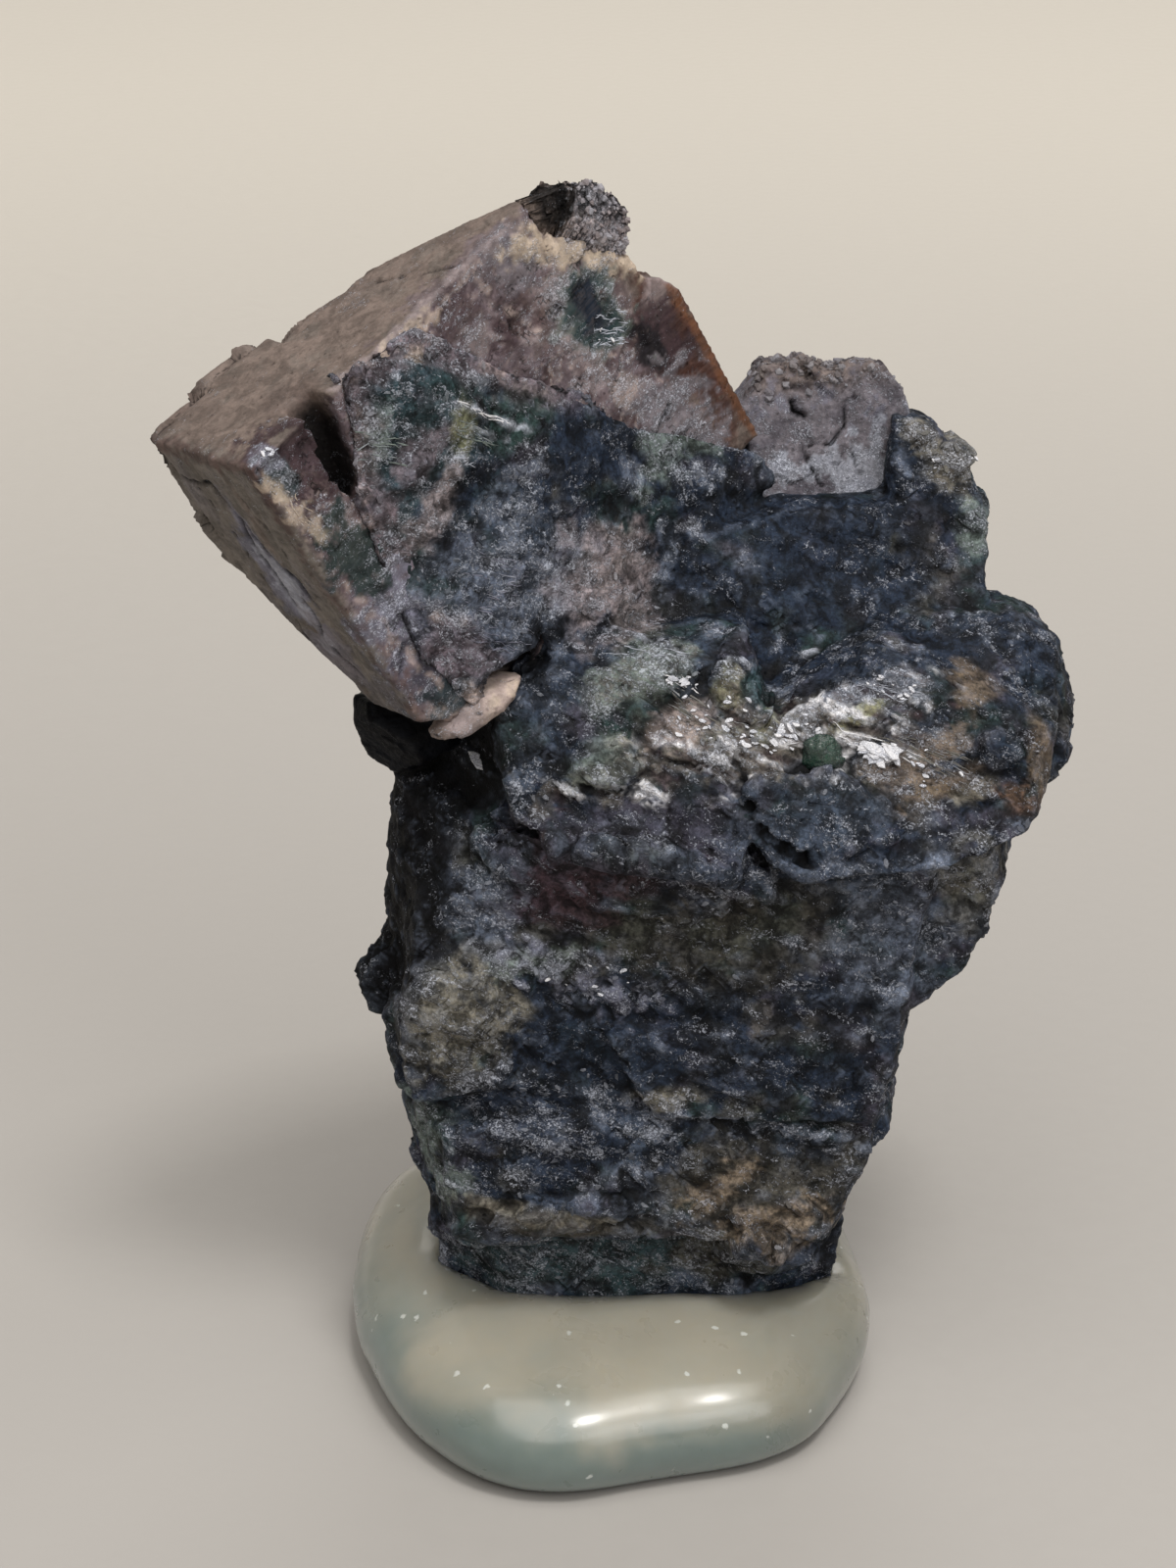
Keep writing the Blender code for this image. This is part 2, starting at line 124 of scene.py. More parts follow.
def scramble(cells: Array, seed: int) -> Array:
    """Turns whole-number cells into well mixed 32-bit numbers.

    Args:
        cells: N x 3 array of whole numbers.
        seed: picks one of many mixes.

    Returns:
        N numbers from 0 to 2**32 - 1.
    """
    mix = (cells[:, 0] * 73856093) ^ (cells[:, 1] * 19349663) ^ (cells[:, 2] * 83492791)
    mix = (mix ^ (seed * 7919 + 1013)) & 0xFFFFFFFF
    mix = ((mix ^ (mix >> 15)) * 0x2C1B3C6D) & 0xFFFFFFFF
    mix = ((mix ^ (mix >> 12)) * 0x297A2D39) & 0xFFFFFFFF
    return mix ^ (mix >> 15)


def three_parts(code: Array) -> Array:
    """Splits each mixed number into three values from -1 to 1."""
    return np.stack([code & 1023, (code >> 10) & 1023, (code >> 20) & 1023], 1) / 511.5 - 1


def noise(points: Array, size: float, seed: int) -> Array:
    """Smooth noise from about -1 to 1.

    Args:
        points: N x 3 places in millimetres.
        size: width of one bump in millimetres.
        seed: picks the pattern.

    Returns:
        N values.
    """
    spot = points / size
    cell = np.floor(spot)
    part = spot - cell
    cell = cell.astype(np.int64)
    fade = part**3 * (part * (part * 6 - 15) + 10)
    total = np.zeros(len(points))
    for corner in itertools.product((0, 1), repeat=3):
        step = np.array(corner)
        slope = three_parts(scramble(cell + step, seed))
        weight = np.where(step, fade, 1 - fade).prod(1)
        total += weight * ((part - step) * slope).sum(1)
    return total * 1.3


def rough_noise(points: Array, size: float, seed: int, octaves: int = 3, gain: float = 0.5) -> Array:
    """Noise from about -1 to 1 with finer copies added, each half as wide and gain times as high."""
    return sum(gain**n * noise(points, size / 2**n, seed + 31 * n) for n in range(octaves))


def torn(points: Array, size: float, seed: int, gain: float = 0.68) -> Array:
    """Noise with strong fine copies, which tears the borders of spots and seams."""
    return rough_noise(points, size, seed, 5, gain)


def chips(points: Array, size: float, seed: int) -> Array:
    """Splits space into lumps, each with a flat face of its own tilt.

    Args:
        points: N x 3 places in millimetres.
        size: width of one lump in millimetres.
        seed: picks the pattern.

    Returns:
        N heights from about -1 to 1.
    """
    spot = points / size
    cell = np.floor(spot).astype(np.int64)
    nearest = np.full(len(points), np.inf)
    height = np.zeros(len(points))
    for shift in itertools.product((-1, 0, 1), repeat=3):
        home = cell + np.array(shift)
        code = scramble(home, seed)
        gap = spot - home - (three_parts(code) * 0.5 + 0.5)
        reach = (gap**2).sum(1)
        lift = (gap * three_parts(scramble(home, seed + 5))).sum(1) + (code % 997) / 997 - 0.5
        nearer = reach < nearest
        nearest = np.where(nearer, reach, nearest)
        height = np.where(nearer, lift, height)
    return height


def strata(points: Array, axis: Array, spacing: float, seed: int, wander: float = 1.0) -> Array:
    """How far each thin layer of a foliated stone stands out.

    Args:
        points: N x 3 places in millimetres.
        axis: unit vector across the layers.
        spacing: thickness of a layer in millimetres.
        seed: picks the pattern.
        wander: how far the layers bend, in millimetres.

    Returns:
        N values from about -1 to 1, with a notch between layers.
    """
    across = (points @ axis + wander * noise(points, 9.0, seed)) / spacing
    layer = np.floor(across)
    inside = across - layer
    own = points + layer[:, None] * np.array([13.7, 5.1, 9.3])
    level = noise(own, 6.5, seed + 1) + 0.5 * noise(own, 2.4, seed + 2)
    edge = ease(np.minimum(inside, 1 - inside), 0.0, 0.22)
    return level * (0.55 + 0.45 * edge) - 0.45 * (1 - edge)


def along_grain(points: Array, along: Point, across: Point, stretch: float) -> Array:
    """Places squeezed along a stone's grain, so that noise read there comes out as long streaks.

    Args:
        points: N x 3 places in millimetres.
        along: direction of the streaks.
        across: direction across the layers.
        stretch: how many times longer than wide a streak is.

    Returns:
        N x 3 places.
    """
    up = np.array(across) / np.linalg.norm(across)
    run = np.array(along) - up * (np.array(along) @ up)
    run /= np.linalg.norm(run)
    return points @ np.stack([run / stretch, np.cross(up, run) / math.sqrt(stretch), up], 1)


def ease(values: Array, low: float, high: float) -> Array:
    """Eases values from 0 at low to 1 at high; low may be the larger."""
    share = np.clip((values - low) / (high - low), 0, 1)
    return share * share * (3 - 2 * share)


def path_distance(points: Array, path: Sequence[Point]) -> Array:
    """Shortest distance from each point to a line of several stretches.

    Args:
        points: N x 3 places.
        path: the line's corners.

    Returns:
        N distances, in the points' own unit.
    """
    best = np.full(len(points), 1e9)
    corners = np.array(path, float)
    for start, end in zip(corners[:-1], corners[1:]):
        run = end - start
        share = np.clip(((points - start) @ run) / (run @ run), 0, 1)
        best = np.minimum(best, np.linalg.norm(points - start - share[:, None] * run, axis=1))
    return best


# ---------------------------------------------------------------- marks on a skin


def rows(kind: type, *values: tuple) -> tuple:
    """One of a kind for each row of its values, in the order of its fields."""
    return tuple(kind(*row) for row in values)


@dataclass(frozen=True)
class Spot:
    """A ragged spot of one mineral, as an ellipsoid that the skin passes through.

    Attributes:
        stone: its colour.
        centre: its middle in millimetres, in the frame it is painted in.
        radii: half its width along each axis of that frame.
        dip: degrees that it leans down towards +X.
        cover: how much of the colour below it hides.
        silver: how thickly fine mica lies on it, or None to leave that alone.
        gloss: how shiny it is, or None to leave that alone.
        ragged: how torn its border is.
    """

    stone: Stone
    centre: Point
    radii: Point
    dip: float = 0.0
    cover: float = 0.85
    silver: float | None = None
    gloss: float | None = None
    ragged: float = 0.9

    def weight(self, points: Array, tear: Array) -> Array:
        """How strongly the spot shows at each point.

        Args:
            points: N x 3 places in the spot's frame.
            tear: N values from about -1 to 1 that tear the border.

        Returns:
            N values from 0 to cover.
        """
        turn = np.array(Matrix.Rotation(math.radians(-self.dip), 3, "Y"))
        reach = np.linalg.norm(((points - np.array(self.centre)) @ turn) / np.array(self.radii), axis=1)
        return self.cover * ease(reach + self.ragged * tear, 1.2, 0.7)


@dataclass(frozen=True)
class Seam:
    """A line on a skin: a crack, a lip, a vein or a worn edge.

    Attributes:
        path: its corners in millimetres, in the frame it is painted in.
        width: half its width in millimetres.
        rise: how far it stands out, or below 0 how deep it is cut.
        stone: its colour.
        cover: how much of the colour below it hides.
        silver: how thickly fine mica lies on it, or None.
        wander: how far the line strays from its path, in millimetres.
        ragged: how torn its border is.
    """

    path: tuple[Point, ...]
    width: float
    rise: float
    stone: Stone
    cover: float
    silver: float | None = None
    wander: float = 0.35
    ragged: float = 0.5

    def weight(self, points: Array, seed: int, tear: Array) -> Array:
        """How strongly the line shows at each point.

        Args:
            points: N x 3 places in the seam's frame.
            seed: picks how the line strays.
            tear: N values from about -1 to 1 that tear the border.

        Returns:
            N values from 0 to 1.
        """
        strayed = points + self.wander * np.stack([noise(points, 1.7, seed + n) for n in range(3)], 1)
        reach = path_distance(strayed, self.path) / self.width
        return ease(reach + self.ragged * tear, 1.0, 0.2)


@dataclass(frozen=True)
class Lens:
    """A flat flake or lens that stands out of a skin, or below 0 a scoop out of it.

    Attributes:
        centre: its middle in millimetres.
        radii: half its length and half its height, seen from the front.
        dip: degrees that its length leans down towards +X.
        rise: how far its face stands out, in millimetres.
        slope: how much further out its top stands than its foot, in millimetres.
        reach: how deep behind and before the centre the skin still belongs to it.
    """

    centre: Point
    radii: tuple[float, float]
    dip: float
    rise: float
    slope: float = 0.0
    reach: float = 3.0

    def height(self, points: Array, tear: Array) -> Array:
        """How far each point moves out.

        Args:
            points: N x 3 places in millimetres.
            tear: N values from about -1 to 1 that tear the border.

        Returns:
            N distances in millimetres.
        """
        gap = points - np.array(self.centre)
        angle = math.radians(self.dip)
        along = gap[:, 0] * math.cos(angle) - gap[:, 2] * math.sin(angle)
        across = gap[:, 0] * math.sin(angle) + gap[:, 2] * math.cos(angle)
        out = np.hypot(along / self.radii[0], across / self.radii[1]) + 0.22 * tear
        face = self.rise + self.slope * np.clip(across / self.radii[1], -1, 1)
        return face * ease(out, 1.04, 0.86) * (np.abs(gap[:, 1]) < self.reach)


class Skin:
    """A dense skin that is shaped and painted in millimetres before it becomes a piece."""

    def __init__(self, mesh: Mesh, base: Stone) -> None:
        """Reads the mesh.

        Args:
            mesh: a closed mesh in metres.
            base: the colour everywhere to begin with.
        """
        self.mesh = mesh
        self.points = read_all(mesh.vertices, "co", 3).astype(float) / MM
        self.ends = read_all(mesh.edges, "vertices", 2, np.int32)
        count = len(self.points)
        self.degree = np.maximum(np.bincount(self.ends.ravel(), minlength=count), 1)
        self.tint = np.tile(base.linear, (count, 1))
        self.silver = np.full(count, 0.3)
        self.gloss = np.full(count, 0.3)
        self.flakes = np.zeros(count)

    @classmethod
    def of_node(cls, node: str, voxel: float, base: Stone) -> "Skin":
        """Covers a copy of a CAD node with an even net.

        Args:
            node: the CAD node's name.
            voxel: width of the net in millimetres.
            base: the colour everywhere to begin with.

        Returns:
            The skin.
        """
        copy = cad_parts[node].data.copy()
        net = bmesh.new()
        net.from_mesh(copy)
        bmesh.ops.remove_doubles(net, verts=net.verts, dist=SAME_POINT)
        net.to_mesh(copy)
        net.free()
        carrier = in_scene(node + "_net", copy)
        remesh = carrier.modifiers.new("net", "REMESH")
        remesh.mode = "VOXEL"
        remesh.voxel_size = voxel * MM
        mesh = evaluated_copy(carrier)
        bpy.data.objects.remove(carrier)
        return cls(mesh, base)

    @property
    def normals(self) -> Array:
        """Outward unit vector at each point."""
        self.store_points()
        return read_all(self.mesh.vertex_normals, "vector", 3).astype(float)

    def store_points(self) -> None:
        """Writes the points back into the mesh, in metres."""
        self.mesh.vertices.foreach_set("co", (self.points * MM).astype(np.float32).ravel())
        self.mesh.update()

    def around(self, values: Array) -> Array:
        """Mean of each point's neighbours.

        Args:
            values: N or N x 3 values.

        Returns:
            As many means.
        """
        columns = values.reshape(len(values), -1)
        a, b = self.ends.T
        mean = np.empty_like(columns)
        for n in range(columns.shape[1]):
            total = np.bincount(a, columns[b, n], len(values)) + np.bincount(b, columns[a, n], len(values))
            mean[:, n] = total / self.degree
        return mean.reshape(values.shape)

    def relax(self, steps: int, share: Array | float = 0.5) -> None:
        """Moves each point towards the mean of its neighbours.

        Args:
            steps: how many times.
            share: how much of the way each time, for all points or for each.
        """
        part = np.asarray(share, float).reshape(-1, 1)
        for _ in range(steps):
            self.points += part * (self.around(self.points) - self.points)

    def push(self, distance: Array | float) -> None:
        """Moves each point outwards along its normal, in millimetres."""
        self.points += np.asarray(distance, float).reshape(-1, 1) * self.normals

    def meet(self, nodes: Iterable[str], reach: float, overlap: float) -> None:
        """Pushes the skin into CAD nodes that lie close, so that no gap shows between grown-together parts.

        Args:
            nodes: names of the CAD nodes.
            reach: how near a point has to be, in millimetres.
            overlap: how far it goes in, in millimetres.
        """
        normals = self.normals
        for node in nodes:
            low, high = (np.array(corner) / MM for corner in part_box(node))
            near = np.flatnonzero(((self.points > low - reach) & (self.points < high + reach)).all(1))
            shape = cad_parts[node].data
            tree = BVHTree.FromPolygons([v.co for v in shape.vertices], [p.vertices for p in shape.polygons])
            for n in near:
                spot = Vector(self.points[n] * MM)
                hit, _, _, gap = tree.find_nearest(spot, reach * MM)
                if hit is not None and (hit - spot).dot(Vector(normals[n])) > 0:
                    share = 1 - gap / (reach * MM)
                    step = (hit - spot).normalized() * (gap + overlap * MM) * min(1.0, share * MEET_GAIN)
                    self.points[n] += np.array(step) / MM

    def bulge(self, rounds: int = 2) -> Array:
        """How far each point stands out from its neighbours.

        Args:
            rounds: how many times the answer is evened out.

        Returns:
            N distances in millimetres.
        """
        out = ((self.points - self.around(self.points)) * self.normals).sum(1)
        for _ in range(rounds):
            out = self.around(out)
        return out

    def lay(self, stone: Stone, weight: Array, silver: float | None = None, gloss: float | None = None) -> None:
        """Paints one mineral.

        Args:
            stone: its colour.
            weight: how much of the colour below it hides at each point, from 0 to 1.
            silver: how thickly fine mica lies on it, or None to leave that alone.
            gloss: how shiny it is, or None to leave that alone.
        """
        self.tint += weight[:, None] * (stone.linear - self.tint)
        if silver is not None:
            self.silver += weight * (silver - self.silver)
        if gloss is not None:
            self.gloss += weight * (gloss - self.gloss)

    def lay_spots(self, spots: Iterable[Spot], places: Array, tear: Array) -> None:
        """Paints spots in order, with the points' places in the spots' frame."""
        for spot in spots:
            self.lay(spot.stone, spot.weight(places, tear), spot.silver, spot.gloss)

    def draw_seams(self, seams: Iterable[Seam], places: Array, seed: int) -> None:
        """Raises or cuts seams and paints them, in order.

        Args:
            seams: the seams.
            places: the points' places in the seams' frame.
            seed: picks how the lines stray and tear.
        """
        rise = np.zeros(len(places))
        tear = rough_noise(places, 0.9, seed + 7, 2, 0.7)
        for seam in seams:
            weight = seam.weight(places, seed, tear)
            rise += seam.rise * weight
            self.lay(seam.stone, weight * seam.cover, seam.silver)
        self.push(rise)

    def as_piece(self, name: str, material: Material, triangles: int = MOST_TRIANGLES) -> Object:
        """Stores the paint, thins the net and makes the object.

        Args:
            name: the piece's name.
            material: its finish.
            triangles: the most triangles it may have.

        Returns:
            The object, at the origin, with smooth faces.
        """
        self.store_points()
        # Painted shade: the further a point lies below its neighbours, the darker its hollow is drawn.
        hollow_shade = np.clip(0.5 - self.bulge() * HOLLOW_SHADE_GAIN, 0, 1)
        for label, kind, entry, values in (
            ("tint", "FLOAT_COLOR", "color", np.c_[self.tint, np.ones(len(self.points))]),
            ("finish", "FLOAT_VECTOR", "vector", np.c_[self.silver, self.gloss, hollow_shade]),
            ("flakes", "FLOAT", "value", np.clip(self.flakes, 0, 1)),
        ):
            stored = self.mesh.attributes.new(label, kind, "POINT")
            stored.data.foreach_set(entry, values.astype(np.float32).ravel())
        piece = in_scene(name, self.mesh)
        made = int((read_all(self.mesh.polygons, "loop_total", 1, np.int32) - 2).sum())
        if made > triangles:
            thin = piece.modifiers.new("thin", "DECIMATE")
            thin.ratio = triangles / made
            thin.use_collapse_triangulate = True
            piece.data = evaluated_copy(piece)
            piece.modifiers.clear()
        piece.data.name = name
        return dress(piece, material)


# ---------------------------------------------------------------- meshes and objects


def read_all(items: Iterable, entry: str, width: int, kind: type = np.float32) -> Array:
    """Reads one entry of every item of a mesh.

    Args:
        items: its vertices, edges, polygons or normals.
        entry: the entry's name.
        width: how many values the entry has.
        kind: the values' type.

    Returns:
        A row for each item.
    """
    flat = np.empty(len(items) * width, kind)
    items.foreach_get(entry, flat)
    return flat.reshape(-1, width)


def mesh_of(net: Net, name: str) -> Mesh:
    """Turns a net into a mesh and frees the net.

    Args:
        net: the net.
        name: the mesh's name.

    Returns:
        The mesh.
    """
    mesh = bpy.data.meshes.new(name)
    net.to_mesh(mesh)
    net.free()
    return mesh


def in_scene(name: str, data: bpy.types.ID) -> Object:
    """Makes an object in the scene, at the origin.

    Args:
        name: its name.
        data: its mesh, light or camera.

    Returns:
        The object.
    """
    made = bpy.data.objects.new(name, data)
    bpy.context.scene.collection.objects.link(made)
    return made


def close_rings(net: Net, rings: list[list[bmesh.types.BMVert]]) -> list[bmesh.types.BMVert]:
    """Closes a row of rings of points into one body.

    Args:
        net: the net that holds them.
        rings: the rings, each with as many points.

    Returns:
        All of their points.
    """
    net.faces.new(list(reversed(rings[0])))
    net.faces.new(rings[-1])
    corners = len(rings[0])
    for low, high in zip(rings[:-1], rings[1:]):
        for n in range(corners):
            after = (n + 1) % corners
            net.faces.new((low[n], low[after], high[after], high[n]))
    return [vert for ring in rings for vert in ring]


def evaluated_copy(carrier: Object) -> Mesh:
    """The mesh that an object's modifiers make, as a mesh of its own."""
    graph = bpy.context.evaluated_depsgraph_get()
    return bpy.data.meshes.new_from_object(carrier.evaluated_get(graph))


def dress(piece: Object, material: Material, smooth: bool = True) -> Object:
    """Gives a piece its only material.

    Args:
        piece: the piece.
        material: its finish.
        smooth: True for smooth faces, False for flat ones.

    Returns:
        The piece.
    """
    piece.data.materials.clear()
    piece.data.materials.append(material)
    piece.data.polygons.foreach_set("use_smooth", np.full(len(piece.data.polygons), smooth))
    piece.data.polygons.foreach_set("material_index", np.zeros(len(piece.data.polygons), np.int32))
    piece.data.update()
    return piece


def hand_over(piece: Object, slot: str, *nodes: str) -> Object:
    """Ties a finished piece to the frame.

    Args:
        piece: the piece, at the origin.
        slot: the record's material slot; not used.
        nodes: names of the CAD nodes it stands for.

    Returns:
        The piece.
    """
    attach(piece, BODY)
    if nodes:
        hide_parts(*nodes)
    triangles = sum(len(p.vertices) - 2 for p in piece.data.polygons)
    LOG.info("%s: %d triangles, stands for %s", piece.name, triangles, ", ".join(nodes) or "nothing")
    return piece


# ---------------------------------------------------------------- node helpers


class Graph:
    """Short calls that lay nodes in one tree."""

    def __init__(self, tree: bpy.types.NodeTree) -> None:
        """Takes the tree to fill."""
        self.tree = tree

    def add(self, kind: str, inputs: dict[str | int, Value | tuple] | None = None, **settings) -> bpy.types.Node:
        """Lays one node.

        Args:
            kind: its type, such as ShaderNodeBump.
            inputs: a value or a socket for each named or numbered input.
            settings: its own settings.

        Returns:
            The node.
        """
        node = self.tree.nodes.new(kind)
        for name, value in settings.items():
            setattr(node, name, value)
        for name, value in (inputs or {}).items():
            self.feed(node.inputs[name], value)
        return node

    def feed(self, socket: Socket, value: Value | tuple) -> None:
        """Links a socket to an input, or sets the input to a value.

        Args:
            socket: the input.
            value: the socket or the value.
        """
        if isinstance(value, Socket):
            self.tree.links.new(value, socket)
        else:
            socket.default_value = value

    def math(self, operation: str, a: Value, b: Value = 0.0) -> Socket:
        """One arithmetic step on two numbers."""
        return self.add("ShaderNodeMath", {0: a, 1: b}, operation=operation).outputs[0]

    def add_up(self, *values: Value) -> Socket:
        """Adds several numbers.

        Args:
            values: the numbers.

        Returns:
            Their sum.
        """
        total = values[0]
        for value in values[1:]:
            total = self.math("ADD", total, value)
        return total

    def times(self, a: Value, b: Value) -> Socket:
        """The product of two numbers."""
        return self.math("MULTIPLY", a, b)

    def own(self, attribute: str, output: str) -> Socket:
        """An output of the mesh's attribute of that name."""
        return self.add("ShaderNodeAttribute", attribute_name=attribute).outputs[output]

    def vector(self, operation: str, a: Value | tuple, b: Value | tuple = (0, 0, 0), scale: Value = 1.0) -> Socket:
        """One arithmetic step on one or two vectors.

        Args:
            operation: the kind of step.
            a: the first vector.
            b: the second vector, where the step takes one.
            scale: the number that SCALE takes instead.

        Returns:
            The new vector.
        """
        node = self.add("ShaderNodeVectorMath", {0: a}, operation=operation)
        if operation == "SCALE":
            self.feed(node.inputs["Scale"], scale)
        elif operation != "NORMALIZE":
            self.feed(node.inputs[1], b)
        return node.outputs[0]

    def ease(self, value: Value, low: Value, high: Value, start: Value = 0.0, end: Value = 1.0) -> Socket:
        """Maps a number smoothly from low..high to start..end, held at the ends."""
        inputs = {0: value, 1: low, 2: high, 3: start, 4: end}
        return self.add("ShaderNodeMapRange", inputs, interpolation_type="SMOOTHSTEP").outputs[0]

    def mix(self, share: Value, a: Value | tuple, b: Value | tuple) -> Socket:
        """Mixes two colours.

        Args:
            share: how much of the second shows, from 0 to 1.
            a: the first colour.
            b: the second colour.

        Returns:
            The mixed colour.
        """
        node = self.add("ShaderNodeMix", data_type="RGBA")
        self.feed(node.inputs["Factor"], share)
        self.feed(node.inputs[6], a)
        self.feed(node.inputs[7], b)
        return node.outputs[2]

    def noise(self, place: Socket, scale: Value, detail: float = 4, rough: float = 0.55, warp: float = 0) -> Socket:
        """Noise from 0 to 1."""
        inputs = {"Vector": place, "Scale": scale, "Detail": detail, "Roughness": rough, "Distortion": warp}
        return self.add("ShaderNodeTexNoise", inputs).outputs["Fac"]

    def bump(self, height: Socket, depth: float, normal: Socket | None = None) -> Socket:
        """Roughens a normal by a height.

        Args:
            height: the height, from 0 to 1.
            depth: what a height of 1 stands for, in millimetres.
            normal: the normal, or None for the surface's own.

        Returns:
            The new normal.
        """
        node = self.add("ShaderNodeBump", {"Height": height, "Distance": depth * MM, "Strength": 1.0})
        if normal:
            self.feed(node.inputs["Normal"], normal)
        return node.outputs["Normal"]


def colour(stone: Stone) -> tuple[float, float, float, float]:
    """A mineral's colour as a node input takes it."""
    return (*stone.linear, 1.0)


class Effects:
    """Shader groups that several finishes share, each built once."""

    def __init__(self) -> None:
        """Starts with no group built."""
        self.built: dict[str, bpy.types.NodeTree] = {}

    def group(self, name: str, inputs: dict[str, str], outputs: dict[str, str]) -> tuple[Graph, dict, dict]:
        """Starts one group.

        Args:
            name: the group's name.
            inputs: socket kind for each input's name.
            outputs: socket kind for each output's name.

        Returns:
            Its graph, its input sockets and its output sockets by name.
        """
        tree = bpy.data.node_groups.new(name, "ShaderNodeTree")
        for side, sockets in (("INPUT", inputs), ("OUTPUT", outputs)):
            for label, kind in sockets.items():
                tree.interface.new_socket(label, in_out=side, socket_type="NodeSocket" + kind)
        graph = Graph(tree)
        start, end = graph.add("NodeGroupInput"), graph.add("NodeGroupOutput")
        self.built[name] = tree
        return graph, {s.name: s for s in start.outputs if s.name}, {s.name: s for s in end.inputs if s.name}

    def use(self, graph: Graph, name: str, inputs: dict[str, Value | tuple]) -> dict[str, Socket]:
        """Places a group in a material, building it first if it is new.

        Args:
            graph: the material's graph.
            name: the group's name, which is also the method that builds it.
            inputs: a value or a socket for each input's name.

        Returns:
            Its output sockets by name.
        """
        if name not in self.built:
            getattr(self, name)()
        node = graph.add("ShaderNodeGroup", node_tree=self.built[name])
        for label, value in inputs.items():
            graph.feed(node.inputs[label], value)
        return {s.name: s for s in node.outputs}

    def mottle(self) -> None:
        """Patches and fine grain at two scales, each from 0 to 1."""
        graph, given, wanted = self.group(
            "mottle", {"Place": "Vector", "Scale": "Float"}, {"Patches": "Float", "Grain": "Float"}
        )
        patches = graph.noise(given["Place"], given["Scale"], 5, 0.62, 0.6)
        grain = graph.noise(given["Place"], graph.times(given["Scale"], 4.3), 4, 0.7, 0.3)
        graph.feed(wanted["Patches"], graph.ease(patches, 0.34, 0.66))
        graph.feed(wanted["Grain"], graph.ease(grain, 0.3, 0.7))

    def glints(self) -> None:
        """Small mica plates: a mask of the plates that show, a tone for each, and a normal that they tilt."""
        graph, given, wanted = self.group(
            "glints",
            {"Place": "Vector", "Scale": "Float", "Share": "Float", "Tilt": "Float"},
            {"Mask": "Float", "Tone": "Float", "Normal": "Vector"},
        )
        warp = graph.add("ShaderNodeTexNoise", {"Vector": given["Place"], "Scale": 2.5, "Detail": 2})
        place = graph.vector("ADD", given["Place"], graph.vector("SCALE", warp.outputs["Color"], scale=0.5))
        cells = graph.add("ShaderNodeTexVoronoi", {"Vector": place, "Scale": given["Scale"], "Randomness": 1.0})
        parts = graph.add("ShaderNodeSeparateXYZ", {0: cells.outputs["Color"]})
        least = graph.math("SUBTRACT", 1.0, given["Share"])
        body = graph.ease(cells.outputs["Distance"], 0.55, 0.3)
        mask = graph.times(graph.math("GREATER_THAN", parts.outputs[0], least), body)
        third = graph.math("FRACT", graph.times(parts.outputs[0], 37.0))
        lean = graph.add("ShaderNodeCombineXYZ", {0: parts.outputs[1], 1: parts.outputs[2], 2: third}).outputs[0]
        lean = graph.vector("SUBTRACT", lean, (0.5, 0.5, 0.5))
        lean = graph.vector("SCALE", lean, scale=graph.times(given["Tilt"], mask))
        normal = graph.add("ShaderNodeNewGeometry").outputs["Normal"]
        graph.feed(wanted["Mask"], mask)
        graph.feed(wanted["Tone"], parts.outputs[1])
        graph.feed(wanted["Normal"], graph.vector("NORMALIZE", graph.vector("ADD", normal, lean)))

    def dust(self) -> None:
        """Wispy mica dust: how much of it shows and how pale it is, each from 0 to 1."""
        graph, given, wanted = self.group(
            "dust", {"Place": "Vector", "Amount": "Float", "Scale": "Float"}, {"Mask": "Float", "Pale": "Float"}
        )
        warp = graph.add("ShaderNodeTexNoise", {"Vector": given["Place"], "Scale": 1.1, "Detail": 3, "Roughness": 0.6})
        lean = graph.vector("SUBTRACT", warp.outputs["Color"], (0.5, 0.5, 0.5))
        place = graph.vector("MULTIPLY", given["Place"], (0.42, 0.7, 1.1))
        place = graph.vector("ADD", place, graph.vector("SCALE", lean, scale=1.5))
        cloud = graph.noise(place, graph.times(given["Scale"], 0.8), 4, 0.65)
        fleck = graph.noise(place, graph.times(given["Scale"], 4.4), 3, 0.7)
        spark = graph.noise(given["Place"], graph.times(given["Scale"], 9.0), 2, 0.6)
        curl = graph.noise(place, graph.times(given["Scale"], 1.9), 2, 0.5, 1.0)
        curl = graph.ease(graph.math("ABSOLUTE", graph.math("SUBTRACT", curl, 0.5)), 0.055, 0.0, 0.0, 0.16)
        level = graph.add_up(
            graph.times(cloud, 1.2), graph.times(fleck, 0.75), graph.times(spark, 0.35), curl,
            graph.times(given["Amount"], 0.42),
        )
        graph.feed(wanted["Mask"], graph.ease(level, 1.38, 1.62))
        graph.feed(wanted["Pale"], graph.ease(graph.math("ADD", fleck, spark), 0.86, 1.28))

    def fibres(self) -> None:
        """Fine parallel streaks along the place's X axis, from 0 to 1."""
        graph, given, wanted = self.group(
            "fibres", {"Place": "Vector", "Scale": "Float", "Stretch": "Float"}, {"Streak": "Float"}
        )
        slim = graph.math("DIVIDE", 1.0, given["Stretch"])
        squeeze = graph.add("ShaderNodeCombineXYZ", {0: slim, 1: 0.6, 2: 1.0}).outputs[0]
        place = graph.vector("MULTIPLY", given["Place"], squeeze)
        streak = graph.noise(place, given["Scale"], 5, 0.65, 0.25)
        graph.feed(wanted["Streak"], graph.ease(streak, 0.36, 0.66))


EFFECTS = Effects()


